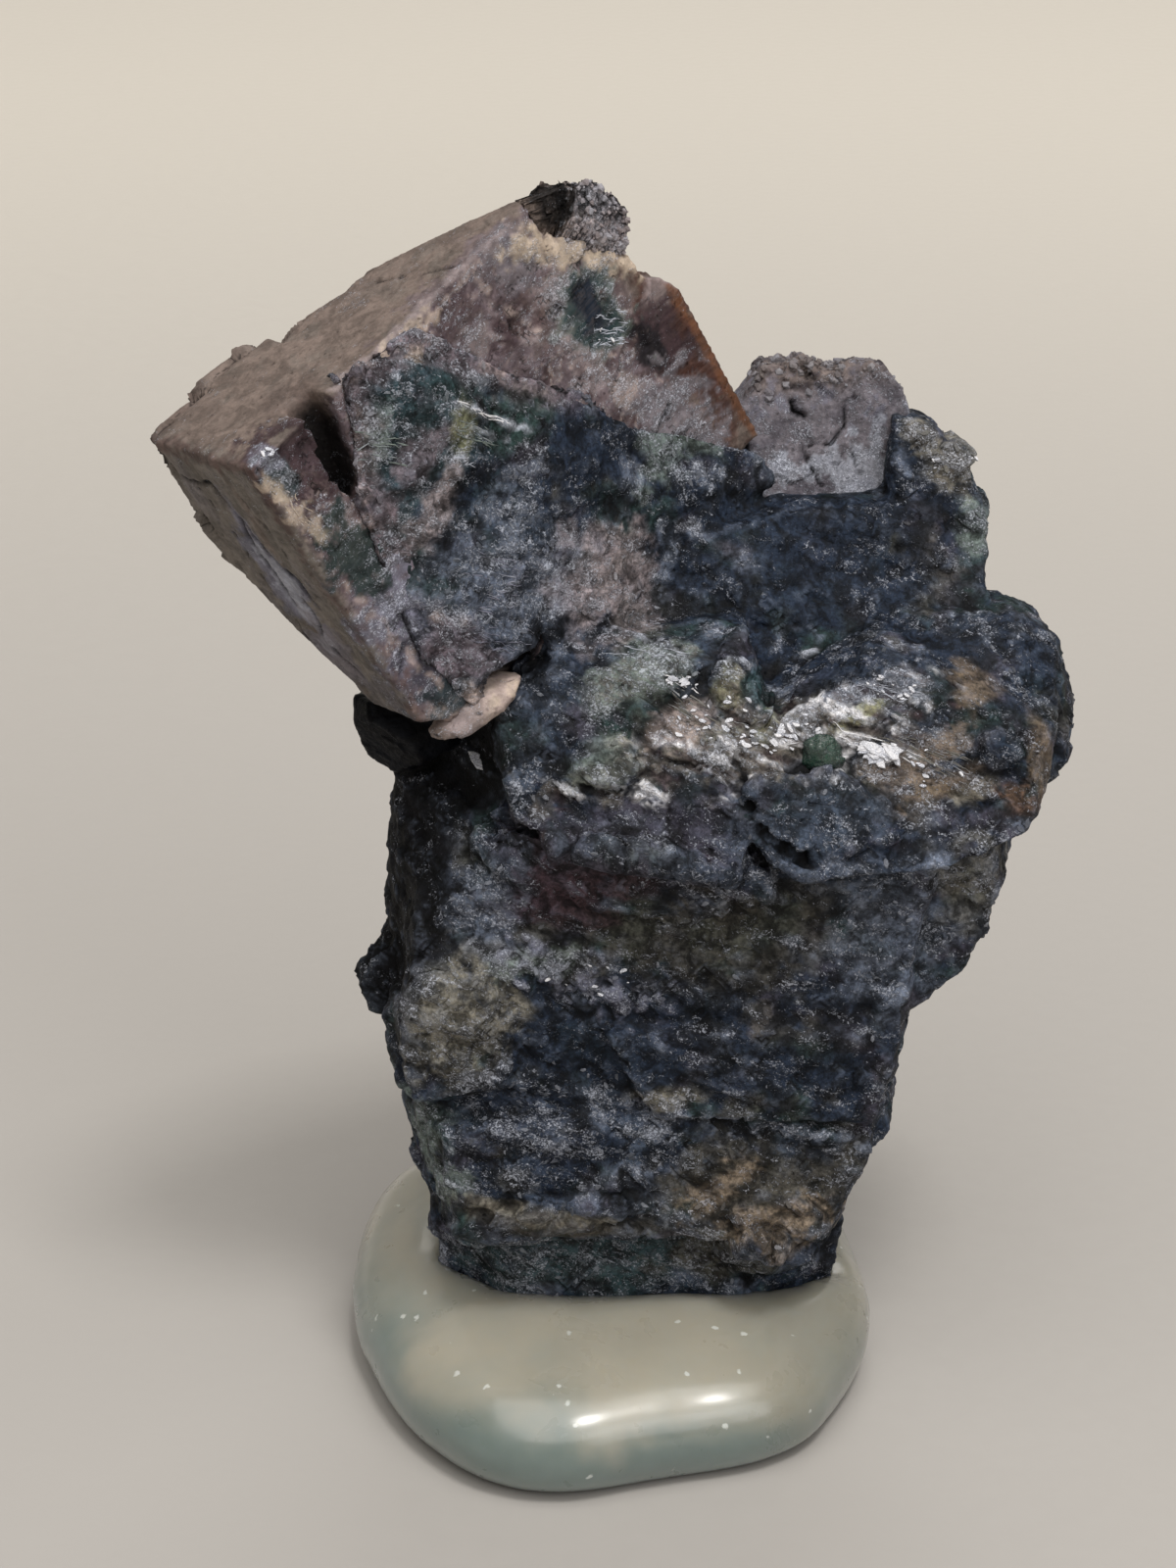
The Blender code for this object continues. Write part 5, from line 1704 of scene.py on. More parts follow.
@dataclass
class PerovskiteBlock:
    """The big cube corner: dull worn top and left faces, and a broken front.

    Attributes:
        voxel: width of the net in millimetres.
        axes: the block's own frame.
        spots: its minerals, and painted shade in its cavity and along its lower front edge, painted sheen on its left
            face and a painted glint on its front, in its own frame.
        seams: its edges, veins and cracks, in its own frame.
    """

    voxel: float = 0.2
    axes: CrystalAxes = field(default_factory=CrystalAxes)
    spots: tuple[Spot, ...] = rows(
        Spot,
        (Stone.PURPLE_BROWN, (2.6, 0.2, -2.2), (2.4, 2.6, 3.6), 0, 0.9, 0.25, 0.4),
        (Stone.TEAL, (1.2, 0, -1.6), (0.9, 1, 1.2), 0, 0.75, 0.9, 0.6),
        # Painted glint: a pale lavender patch at the top left of the front.
        (Stone.LAVENDER, (1.5, 0, -0.3), (0.7, 1, 0.8), 0, 0.6, 1, 0.9, 1.2),
        # Painted sheen: a lavender band down the middle of the left face.
        (Stone.LAVENDER, (0, 5.6, -9.6), (1.4, 2, 5.6), 0, 0.8, 0.2, 0.5, 0.7),
        (Stone.DUSK, (0, 5.6, -17.4), (1.4, 5, 5), 0, 0.45, 0.3, 0.3),
        # Painted shade: black along the lower edge of the block's front.
        (Stone.BLACK, (8.2, -0.2, -21.3), (3, 2.5, 0.9), 33, 0.95, 0.05, 0.3, 0.3),
        (Stone.ROSE_TAN, (1.9, 0, -20.6), (1.3, 1.2, 2), 25, 0.7, 0.4, 0.5, 0.6),
        # Painted sheen: silver down the middle of the left face.
        (Stone.SILVER, (0, 5.4, -10.2), (1.4, 1, 4.2), 0, 0.4, 0.2, 0.6, 0.8),
        (Stone.LILAC_GREY, (0, 4.8, -15.5), (1.4, 2.2, 3.4), 0, 0.7, 0, 0.4, 0.7),
        (Stone.PINK_GREY, (3, 0.2, -6.8), (1.3, 1.4, 1.6), 0, 0.7, 0.6, 0.9),
        (Stone.LAVENDER, (4, 0, -15), (3.9, 1.6, 7.6), 0, 0.75, 0.8, 0.5, 0.7),
        (Stone.DARK_GREEN, (2.7, 0, -8.6), (1.9, 1.6, 3), 0, 0.9, 0.4, 0.4),
        (Stone.LAVENDER, (2.9, -0.2, -13.6), (1.3, 2, 1.9), 0, 0.85, 0.9, 0.5, 0.5),
        (Stone.DUSK, (3, 0, -17.6), (2.4, 1.6, 3.6), 0, 0.85, 0.5, 0.4),
        (Stone.TEAL, (2.4, 0, -20), (1.8, 1.6, 1.6), 0, 0.7, 0.4, 0.4),
        (Stone.PLUM, (18, 0, -3.6), (6.4, 2, 5.6), 0, 0.6, 0.3, 0.6),
        (Stone.LILAC_GREY, (19.8, 0, -2.3), (2.4, 1.5, 2.2), 0, 0.75, 0.5, 0.6),
        (Stone.PURPLE_BROWN, (18, 0, -4.2), (1.9, 1.5, 1.6), 0, 0.9, 0.15, 0.6),
        (Stone.PURPLE_BROWN, (15.6, 0, -1.9), (1.9, 1.5, 1.4), 0, 0.7, 0.3, 0.6),
        (Stone.RED_BROWN, (20.6, 0, -6), (2, 1.5, 2), 0, 0.5, 0.3, 0.5),
        (Stone.PINK_GREY, (15.4, 0, -4.2), (2.2, 1.5, 0.8), 20, 0.65, 0.7),
        (Stone.LILAC_GREY, (21.4, 0, -5.8), (1.2, 1.5, 2.4), -20, 0.6, 0.9),
        (Stone.RED_BROWN, (26, 0.5, -7.2), (1.4, 2.5, 1), 0, 0.7, 0.2, 0.3),
        (Stone.RUSSET, (27, 1.5, -13.8), (2.8, 5, 7.6), 0, 0.97, 0, 0.6, 0.5),
        (Stone.PINK_GREY, (27.2, 0, -10.2), (1.6, 1.5, 1), 30, 0.7, 0.3, 0.9),
        (Stone.PURPLE_BROWN, (25.9, 0, -12.6), (1.9, 1.5, 3), 20, 0.97, 0.05, 0.5, 0.6),
        (Stone.INK, (25, 0, -12.2), (1.1, 1.5, 1.9), 10, 0.85, 0.05, 0.4, 0.6),
        (Stone.LILAC_GREY, (24.6, 0, -17.4), (2.8, 1.5, 3), 20, 0.85, 0.8, 0.7),
        (Stone.PINK_GREY, (22.6, 0, -4.4), (3.4, 1.4, 1.4), 30, 0.75, 0.9, 0.8, 0.9),
        (Stone.PINK_GREY, (21, 0, -9.8), (1.4, 1.4, 3), -10, 0.6, 0.9, 0.8, 1),
        (Stone.LILAC_GREY, (23.2, 0, -15.6), (2.2, 1.5, 2.4), 30, 0.6, 0.7, 0.6),
        (Stone.ROSE_TAN, (22.4, 0, -13.4), (1.1, 1.5, 0.9), 0, 0.6, 0.6),
        (Stone.SAGE, (23.2, 0, -7.8), (2.5, 1.5, 3.2), -10, 0.75, 1, 0.5),
        (Stone.TEAL, (22.9, 0, -7.9), (1.8, 1.5, 2.8), -10, 0.95, 0.45, 0.6, 0.7),
        (Stone.NAVY, (23.1, 0, -7.4), (1.1, 1.5, 1.6), -10, 0.95, 0.1, 0.6, 0.7),
        # Painted shade: black inside the cavity in the block's front.
        (Stone.BLACK, (5.2, 2, -4.3), (1.7, 1.8, 3.9), 0, 0.95, 0, 0.2, 0.2),
    )
    seams: tuple[Seam, ...] = rows(
        Seam,
        (((0, 0.5, -0.4), (0.2, 0.6, -8), (0.4, 0.5, -19.5)), 0.6, 0, Stone.RED_BROWN, 0.7, 0.1, 0.3, 0.9),
        (((0, 0.6, -0.2), (-0.1, 11, -0.2)), 0.9, 0, Stone.RED_BROWN, 0.7, 0, 0.3, 0.9),
        (((0.6, 0, -1.6), (1, 0, -3.6), (1.2, 0, -5.6)), 0.7, 0, Stone.CREAM, 0.6, 0.5, 0.4, 1.3),
        (((0.9, 0, -9), (1.6, 0, -14), (2.2, 0, -19)), 0.3, 0, Stone.ROSE_TAN, 0.5, 0.4, 0.5, 1.3),
        (((7, 0, 0), (13, 0, -0.1), (17.6, 0, 0), (21.8, 0, -0.3)), 0.7, 0, Stone.PINK_GREY, 0.7, 0.3, 0.3, 1.2),
        (((10.6, 0, -0.6), (14.2, 0, -0.9)), 0.5, 0, Stone.CREAM, 0.5, 0.3, 0.5, 1.3),
        (((13.4, 0, -1), (16.6, 0, -0.6), (18.3, 0, -0.5)), 0.3, 0.06, Stone.ROSE_TAN, 0.7, 0.6, 0.4, 0.9),
        (((17.5, 0, -0.9), (18.4, 0, -4.1), (19.6, 0, -6.9)), 0.28, 0.06, Stone.ROSE_TAN, 0.65, 0.6, 0.5, 0.9),
        (((15.2, 0, -2.9), (17.6, 0, -5.4), (20.2, 0, -7.8)), 0.26, 0.06, Stone.PINK_GREY, 0.65, 0.6, 0.5, 0.9),
        (((19.6, 0, -6.9), (21.6, 0, -10.2), (22, 0, -13.2)), 0.4, 0.06, Stone.PINK_GREY, 0.6, 0.8, 0.6, 0.9),
        (((21, 0, -1.4), (22.8, 0, -3.2), (24.8, 0, -5), (27.2, 0.2, -7.4)), 1.3, 0.1, Stone.CREAM, 0.9, 0.5, 0.4, 0.9),
        (((28.2, 0, -10.2), (28.5, 0, -16), (28.5, 0, -22)), 0.55, 0, Stone.AMBER, 0.8, 0, 0.2, 0.7),
        (((0, 9.6, -2.9), (0, 6.6, -2.7), (0, 6, -5.1), (0, 6.3, -8.2), (0, 6.2, -11.8)),
         0.3, -0.25, Stone.BLACK, 0.95, 0, 0.4, 0.3),
        (((0, 5.8, -4.6), (0, 5, -7.1), (0, 3.7, -9), (0, 3.3, -11.4)), 0.3, -0.2, Stone.BLACK, 0.9, 0, 0.4, 0.3),
        (((0, 4.4, -11), (0, 4.9, -14.2), (0, 3.6, -17.4)), 0.26, -0.15, Stone.BLACK, 0.85, 0, 0.5, 0.3),
        (((0, 8.4, -3.4), (0, 7.6, -7.4), (0, 7.8, -11.6), (0, 6.8, -15)), 0.22, -0.15, Stone.BLACK, 0.8, 0, 0.6, 0.4),
        (((0, 3.6, -2.6), (0, 2.8, -6.4), (0, 2.4, -10)), 0.2, -0.1, Stone.BLACK, 0.7, 0, 0.5, 0.5),
        (((15, 5.6, 0), (16.2, 2.6, 0), (17.4, 0.3, 0)), 0.2, -0.15, Stone.BLACK, 0.6, 0, 0.5, 0.8),
        (((10.4, 9, 0), (13.8, 7.2, 0), (19.5, 7.8, 0)), 0.18, -0.12, Stone.BLACK, 0.5, 0, 0.6, 0.8),
    )

    def build(self) -> Object:
        """Shapes, paints and hands over the block.

        Returns:
            The block.
        """
        skin = Skin.of_node("perovskite_block", self.voxel, Stone.TAUPE)
        self.shape(skin)
        self.paint(skin)
        long, up = self.axes.back(np.array([[1, 0, 0], [0, 0, 1]]))
        finish = MineralFinish("perovskite", (tuple(long), tuple(up)), 0.7, 0.2, 1.3, 4.5, 0.3, 0.04, 0.4)
        piece = skin.as_piece("perovskite_cube", finish.build())
        return hand_over(piece, "perovskite", "perovskite_block")

    def broken_share(self, block: Array) -> Array:
        """How broken the stone is.

        Args:
            block: N x 3 places in the block's frame.

        Returns:
            N values: 1 on its front, 0 on its old faces.
        """
        x, y, z = block.T
        worn = np.minimum(ease(x, 0.1, 0.9), ease(z, 0.0, -0.6))
        return ease(y, 1.6, 0.3) * ease(x, 26.4, 24.6) * worn

    def shape(self, skin: Skin) -> None:
        """Wears the edges, chips the breaks and rules the right corner with fine ribs.

        Args:
            skin: the block's skin.
        """
        skin.relax(5)
        block = self.axes.of(skin.points)
        x, y, z = block.T
        front = y < 3.0
        kept = skin.points[front]
        skin.meet(("schist_matrix",), 0.8, 0.3)
        skin.points[front] = kept
        broken = self.broken_share(block)
        skin.push(broken * (0.3 * chips(skin.points, 3.2, 121) + 0.1 * chips(skin.points, 1.3, 123)))
        back = ease(np.maximum(y - 9.6, np.maximum(x - 27.6, -21.0 - z)), 0.0, 1.2)
        back *= ease(y, 1.5, 3.5)
        skin.push(back * (0.7 * chips(skin.points, 5.2, 125) + 0.3 * chips(skin.points, 2.0, 127)))
        worn = 0.13 * noise(skin.points, 5.0, 131) + 0.025 * rough_noise(skin.points, 1.3, 141, 4, 0.6)
        edges = np.clip(skin.bulge(8) * 16, 0, 1)
        nicks = ease(noise(skin.points, 1.5, 151), 0.15, 0.6)
        right = ease(x, 24.5, 26.0) * ease(z, -8.5, -10.0)
        skin.push((worn - 0.55 * edges * nicks) * (1 - 0.8 * right))
        steps = strata(block, np.array([0.2, 0.98, 0.0]), 0.9, 161, 0.5)
        skin.push(0.12 * steps * ease(np.abs(x), 1.2, 0.4))
        ribs = np.abs(((block @ np.array([0.3, 0.3, 1.0])) * 1.6) % 1 - 0.5) * 2
        facets = ease(x, 4.6, 3.8) * ease(z, -9.0, -7.0) * ease(y, -0.6, 0.4)
        facets *= ease(np.minimum(x, -z), 0.6, 1.4) * ease(y, 4.0, 3.0)
        skin.push(0.35 * facets * chips(skin.points, 1.3, 129))
        skin.push(0.07 * ribs * right + broken * 0.07 * rough_noise(skin.points, 0.9, 171))

    def paint(self, skin: Skin) -> None:
        """Paints faces, breaks, veins and cracks.

        Args:
            skin: the block's skin.
        """
        block = self.axes.of(skin.points)
        x = block[:, 0]
        tear = torn(skin.points, 2.2, 181)
        skin.silver[:] = 0.0
        skin.gloss[:] = 0.2
        skin.lay(Stone.WARM_GREY, 0.5 * ease(tear, 0.0, 0.6))
        left = ease(x, 0.9, 0.3)
        skin.lay(Stone.WARM_GREY, left, 0.0, 0.3)
        streak = noise(block * np.array([1, 1.4, 0.3]), 2.2, 191)
        skin.lay(Stone.LILAC_GREY, left * 0.5 * ease(streak, 0.1, 0.6), 0.05, 0.4)
        skin.lay(Stone.TAUPE, left * 0.6 * ease(streak, -0.1, -0.6), 0.0, 0.3)
        skin.lay(Stone.RED_BROWN, 0.35 * ease(noise(block, 6.0, 195) + 0.4 * tear, 0.1, 0.8))
        broken = self.broken_share(block)
        skin.lay(Stone.PLUM, broken * 0.95, 0.3, 0.5)
        dark = ease(rough_noise(block, 2.6, 197) + 0.3 * tear, 0.0, 0.4)
        skin.lay(Stone.PURPLE_BROWN, broken * 0.8 * dark, 0.15)
        skin.lay(Stone.RED_BROWN, broken * 0.35 * ease(tear, 0.15, 0.6), 0.25, 0.5)
        wisps = ease(np.abs(rough_noise(block, 2.4, 199, 3, 0.6)), 0.09, 0.0)
        skin.lay(Stone.ROSE_TAN, broken * 0.7 * wisps, 0.9)
        frost = ease(rough_noise(block, 1.3, 198, 4, 0.7), 0.05, 0.5) * ease(x, 12.0, 16.0)
        skin.lay(Stone.PINK_GREY, broken * 0.6 * frost, 0.9)
        skin.lay_spots(self.spots, block, tear)
        skin.draw_seams(self.seams, block, 201)
        rim = ease(skin.bulge(3), 0.008, 0.03)
        skin.lay(Stone.ROSE_TAN, 0.15 * rim * ease(tear, -0.4, 0.4))


@dataclass
class SmallCrystal:
    """One of the smaller bodies, shaped and painted alike.

    Attributes:
        node: the CAD node it stands for.
        name: the piece's name.
        slot: the record's material slot.
        base: its colour.
        voxel: width of the net in millimetres.
        soften: how many times its edges are relaxed.
        lumps: height of the coarse relief in millimetres.
        fine: height of the fine relief in millimetres.
        flat: True for flat-faced chips, False for rounded lumps.
        seed: picks the relief.
    """

    node: str
    name: str
    slot: str
    base: Stone
    voxel: float
    soften: int
    lumps: float
    fine: float
    flat: bool
    seed: int

    def skin(self) -> Skin:
        """Covers the CAD node and shapes its relief.

        Returns:
            The skin.
        """
        skin = Skin.of_node(self.node, self.voxel, self.base)
        skin.relax(self.soften)
        skin.push(0.2)
        size = max(1.0, float(np.ptp(skin.points, axis=0).max()) / 5)
        coarse = chips(skin.points, size, self.seed) if self.flat else noise(skin.points, size, self.seed)
        skin.push(self.lumps * coarse)
        skin.push(self.fine * rough_noise(skin.points, size / 3, self.seed + 3, 4, 0.6))
        return skin

    def finished(self, skin: Skin, material: Material, triangles: int) -> Object:
        """Makes the piece from its painted skin, with at most that many triangles, and hands it over."""
        return hand_over(skin.as_piece(self.name, material, triangles), self.slot, self.node)

    def grown_over(self, skin: Skin, material: Material, triangles: int, grains: Scatter,
                   grain: Material) -> list[Object]:
        """Does the same for a body with grains on it.

        Args:
            skin: its painted skin, with the flakes' mask set.
            material: its finish.
            triangles: the most triangles it may have.
            grains: how its grains lie.
            grain: their finish.

        Returns:
            The body and its grains.
        """
        piece = skin.as_piece(self.name, material, triangles)
        strewn = grains.over(piece, grain)
        return [hand_over(piece, self.slot, self.node), hand_over(strewn, self.slot)]


@dataclass
class SideCrystal:
    """The grey cube behind the ledge, with a crumbly rim of grains.

    Attributes:
        form: its shape.
        cracks: its cracks, drawn straight back through it.
        grains: how the grains lie on its rim.
    """

    form: SmallCrystal = field(
        default_factory=lambda: SmallCrystal(
            "side_crystal", "grey_crystal", "grey_perovskite", Stone.LILAC_GREY, 0.14, 3, 0.12, 0.08, True, 211
        )
    )
    cracks: tuple[Seam, ...] = rows(
        Seam,
        (((11.2, 0, 60.4), (11.3, 0, 59.9), (12, 0, 59.7)), 0.26, -0.6, Stone.BLACK, 0.95, 0, 0.2, 0.6),
        (((14.2, 0, 60.8), (14.3, 0, 58.8), (13.5, 0, 57.9), (12.2, 0, 57.8)),
         0.14, -0.25, Stone.INK, 0.75, 0, 0.25, 0.4),
        (((14.3, 0, 58.8), (14.6, 0, 57.6), (15.1, 0, 56.6)), 0.12, -0.2, Stone.INK, 0.7, 0, 0.25, 0.4),
        (((11.7, 0, 58.2), (12.3, 0, 56.9), (13.2, 0, 55.6)), 0.12, -0.2, Stone.INK, 0.7, 0, 0.25, 0.4),
    )
    grains: Scatter = field(default_factory=lambda: Scatter("rim_grains", Shape.CHIP, 4.0, 0.2, 0.7, 0.5, 7))

    def build(self) -> list[Object]:
        """Shapes, paints and hands over the crystal and its grains.

        Returns:
            The crystal and its grains.
        """
        skin = self.form.skin()
        points = skin.points
        tear = torn(points, 1.6, 221, 0.65)
        top = points[:, 2].max()
        rim = ease(points[:, 2] + 1.0 * tear, top - 2.4, top - 0.8)
        pits = ease(noise(points, 0.9, 231), 0.4, 0.65) * ease(noise(points, 3.0, 233), -0.2, 0.3)
        lift = ease(points[:, 0], 12.5, 16.5) * ease(points[:, 2], 56.5, 59.5)
        skin.points = points + np.outer(lift, [0.0, 0.0, 1.0])
        skin.push(-0.3 * pits + 0.35 * rim * chips(points, 1.2, 235))
        skin.silver[:] = 0.45
        skin.gloss[:] = 0.45
        skin.lay(Stone.LAVENDER, 0.6 * ease(tear, -0.1, -0.5), 0.6)
        skin.lay(Stone.DUSK, 0.5 * ease(tear, 0.15, 0.5), 0.3)
        skin.lay(Stone.BLACK, 0.8 * pits, 0.0, 0.1)
        skin.lay(Stone.TAUPE, 0.8 * rim, 0.2, 0.2)
        skin.lay(Stone.DUSK, 0.7 * rim * ease(tear, 0.0, 0.4), 0.3, 0.2)
        corner = Spot(Stone.SILVER, (14.8, 7.6, 55.9), (4.4, 4.0, 1.7), 0, 0.5, 1.0, 0.9, 1.6)
        skin.lay_spots((corner,), points, tear)
        skin.draw_seams(self.cracks, points * np.array([1.0, 0.0, 1.0]), 237)
        skin.flakes = rim
        grain_lines = ((0.9, 0, -0.4), (0, 1, 0))
        finish = MineralFinish("grey_perovskite", grain_lines, 0.9, 0.22, 1.6, 3.5, 0.1, 0.07, 0.5, Stone.SILVER)
        grain = FlakeFinish("rim_grain", 0.35, 0.5, 0.0)
        return self.form.grown_over(skin, finish.build(), 60_000, self.grains, grain.build())


@dataclass
class SmallBodies:
    """The black crystal, the crust on the peak, the cream rind and the green grain.

    Attributes:
        grains: how the beads lie on the crust.
    """

    grains: Scatter = field(default_factory=lambda: Scatter("crust_grains", Shape.CHIP, 4.5, 0.15, 0.5, 0.5, 5))

    def build(self) -> list[Object]:
        """Builds all of them and returns them."""
        return [self.black(), *self.crust(), self.rind(), self.grain()]

    def black(self) -> Object:
        """The near-black crystal under the block.

        Returns:
            The piece.
        """
        form = SmallCrystal("dark_crystal", "black_crystal", "black_crystal", Stone.BLACK, 0.12, 4, 0.1, 0.03,
                            True, 241)
        skin = form.skin()
        skin.meet(("schist_matrix", "perovskite_block"), 1.2, 0.4)
        finish = SmoothStoneFinish("black_crystal", Stone.INK, Stone.BLACK, 0.8, (0.35, 0.55), 0.03, 0.0, 0.0, 0.06)
        return form.finished(skin, finish.build(), 30_000)

    def crust(self) -> list[Object]:
        """The granular crust on the block's peak, and the beads on it.

        Returns:
            The crust and its beads.
        """
        form = SmallCrystal("grey_crust", "grain_crust", "crust", Stone.TAUPE, 0.12, 3, 0.28, 0.1, True, 251)
        skin = form.skin()
        skin.push(-0.4)
        skin.meet(("perovskite_block",), 1.8, 0.4)
        points = skin.points
        tear = torn(points, 1.4, 255)
        grainy = ease(points[:, 0] + 0.6 * tear, -2.6, -1.4)
        skin.silver[:] = 0.2
        skin.lay(Stone.PINK_GREY, grainy, 0.9, 0.4)
        skin.lay(Stone.SILVER, 0.3 * grainy * ease(tear, -0.2, 0.4))
        skin.lay(Stone.ROSE_TAN, 0.6 * ease(tear, 0.1, 0.5) * ease(points[:, 2], 75.0, 73.6), 0.5)
        # Painted shade: a black spot for the shade of a hollow in the crust.
        hollow_shade = Spot(Stone.BLACK, (-3.2, -1.0, 75.2), (1.9, 3.0, 1.5), -20, 0.95, 0.05, 0.5, 0.6)
        skin.lay_spots((hollow_shade,), points, tear)
        skin.flakes = grainy
        finish = MineralFinish("crust", ((1, 0, 0), (0, 0, 1)), 1.2, 0.5, 1.6, 4.0, 0.2, 0.08, 0.3)
        grain = FlakeFinish("crust_grain", 0.55, 0.35, 0.1)
        return form.grown_over(skin, finish.build(), 30_000, self.grains, grain.build())

    def rind(self) -> Object:
        """The smooth cream rind under the block's lower corner.

        Returns:
            The piece.
        """
        form = SmallCrystal("cream_rind", "cream_patch", "rind", Stone.ROSE_TAN, 0.12, 12, 0.15, 0.0, False, 261)
        skin = form.skin()
        end = skin.points.max(0)
        skin.points = end + (skin.points - end) * np.array([1.4, 1.0, 0.85]) + np.array([-0.2, -0.5, -0.4])
        skin.relax(6)
        skin.push(-0.3)
        skin.push(0.12 * chips(skin.points, 1.3, 262) + 0.05 * rough_noise(skin.points, 0.8, 263))
        tear = torn(skin.points, 1.3, 265)
        skin.silver[:] = 0.15
        skin.gloss[:] = 0.45
        skin.lay(Stone.CREAM, 0.7 * ease(tear, -0.4, 0.3))
        skin.lay(Stone.PINK_GREY, 0.8 * ease(-skin.points[:, 0] + 0.8 * tear, 6.4, 8.2), 0.4)
        skin.lay(Stone.TAUPE, 0.9 * ease(-skin.points[:, 0] + 1.2 * tear, 8.0, 9.6), 0.4)
        skin.lay(Stone.BLACK, 0.8 * ease(noise(skin.points, 0.6, 269), 0.5, 0.7), 0.0)
        finish = MineralFinish("cream_rind", ((1, 0, 0.3), (0, 0, 1)), 0.9, 0.15, 1.5, 3.0, 0.1, 0.03, 0.1)
        return form.finished(skin, finish.build(), 30_000)

    def grain(self) -> Object:
        """The glassy green grain in the ledge.

        Returns:
            The piece.
        """
        form = SmallCrystal("green_grain", "green_glass_grain", "chlorite_glass", Stone.BOTTLE_GREEN, 0.08, 3, 0.12,
                            0.04, True, 271)
        finish = SmoothStoneFinish("green_glass", Stone.BOTTLE_GREEN, Stone.DARK_GREEN, 1.2, (0.12, 0.3), 0.04, 0.5,
                                   0.1)
        return form.finished(form.skin(), finish.build(), 20_000)


@dataclass
class MicaFlakes:
    """Loose mica and chlorite flakes over the schist.

    Attributes:
        scatter: how the flakes lie.
    """

    scatter: Scatter = field(default_factory=lambda: Scatter("mica_flakes", Shape.PLATE, 5.5, 0.18, 0.75, 0.4, 3))

    def build(self, rock: Object) -> Object:
        """Strews the flakes over the rock and returns them."""
        return hand_over(self.scatter.over(rock, FlakeFinish("mica_flake", 0.42, 0.35, 0.3).build()), "schist")


@dataclass(frozen=True)
class Cluster:
    """A bright cluster of mica plates.

    Attributes:
        centre: its middle in millimetres.
        spread: how far its plates stray from the middle, in millimetres.
        count: number of plates.
        widest: width of the widest plate in millimetres.
    """

    centre: Point
    spread: float
    count: int
    widest: float


@dataclass(frozen=True)
class Bundle:
    """A bundle of parallel mica fibres.

    Attributes:
        stone: its colour.
        start: one end of its middle in millimetres.
        end: the other end.
        width: of the whole bundle in millimetres.
        count: number of fibres.
    """

    stone: Stone
    start: Point
    end: Point
    width: float
    count: int


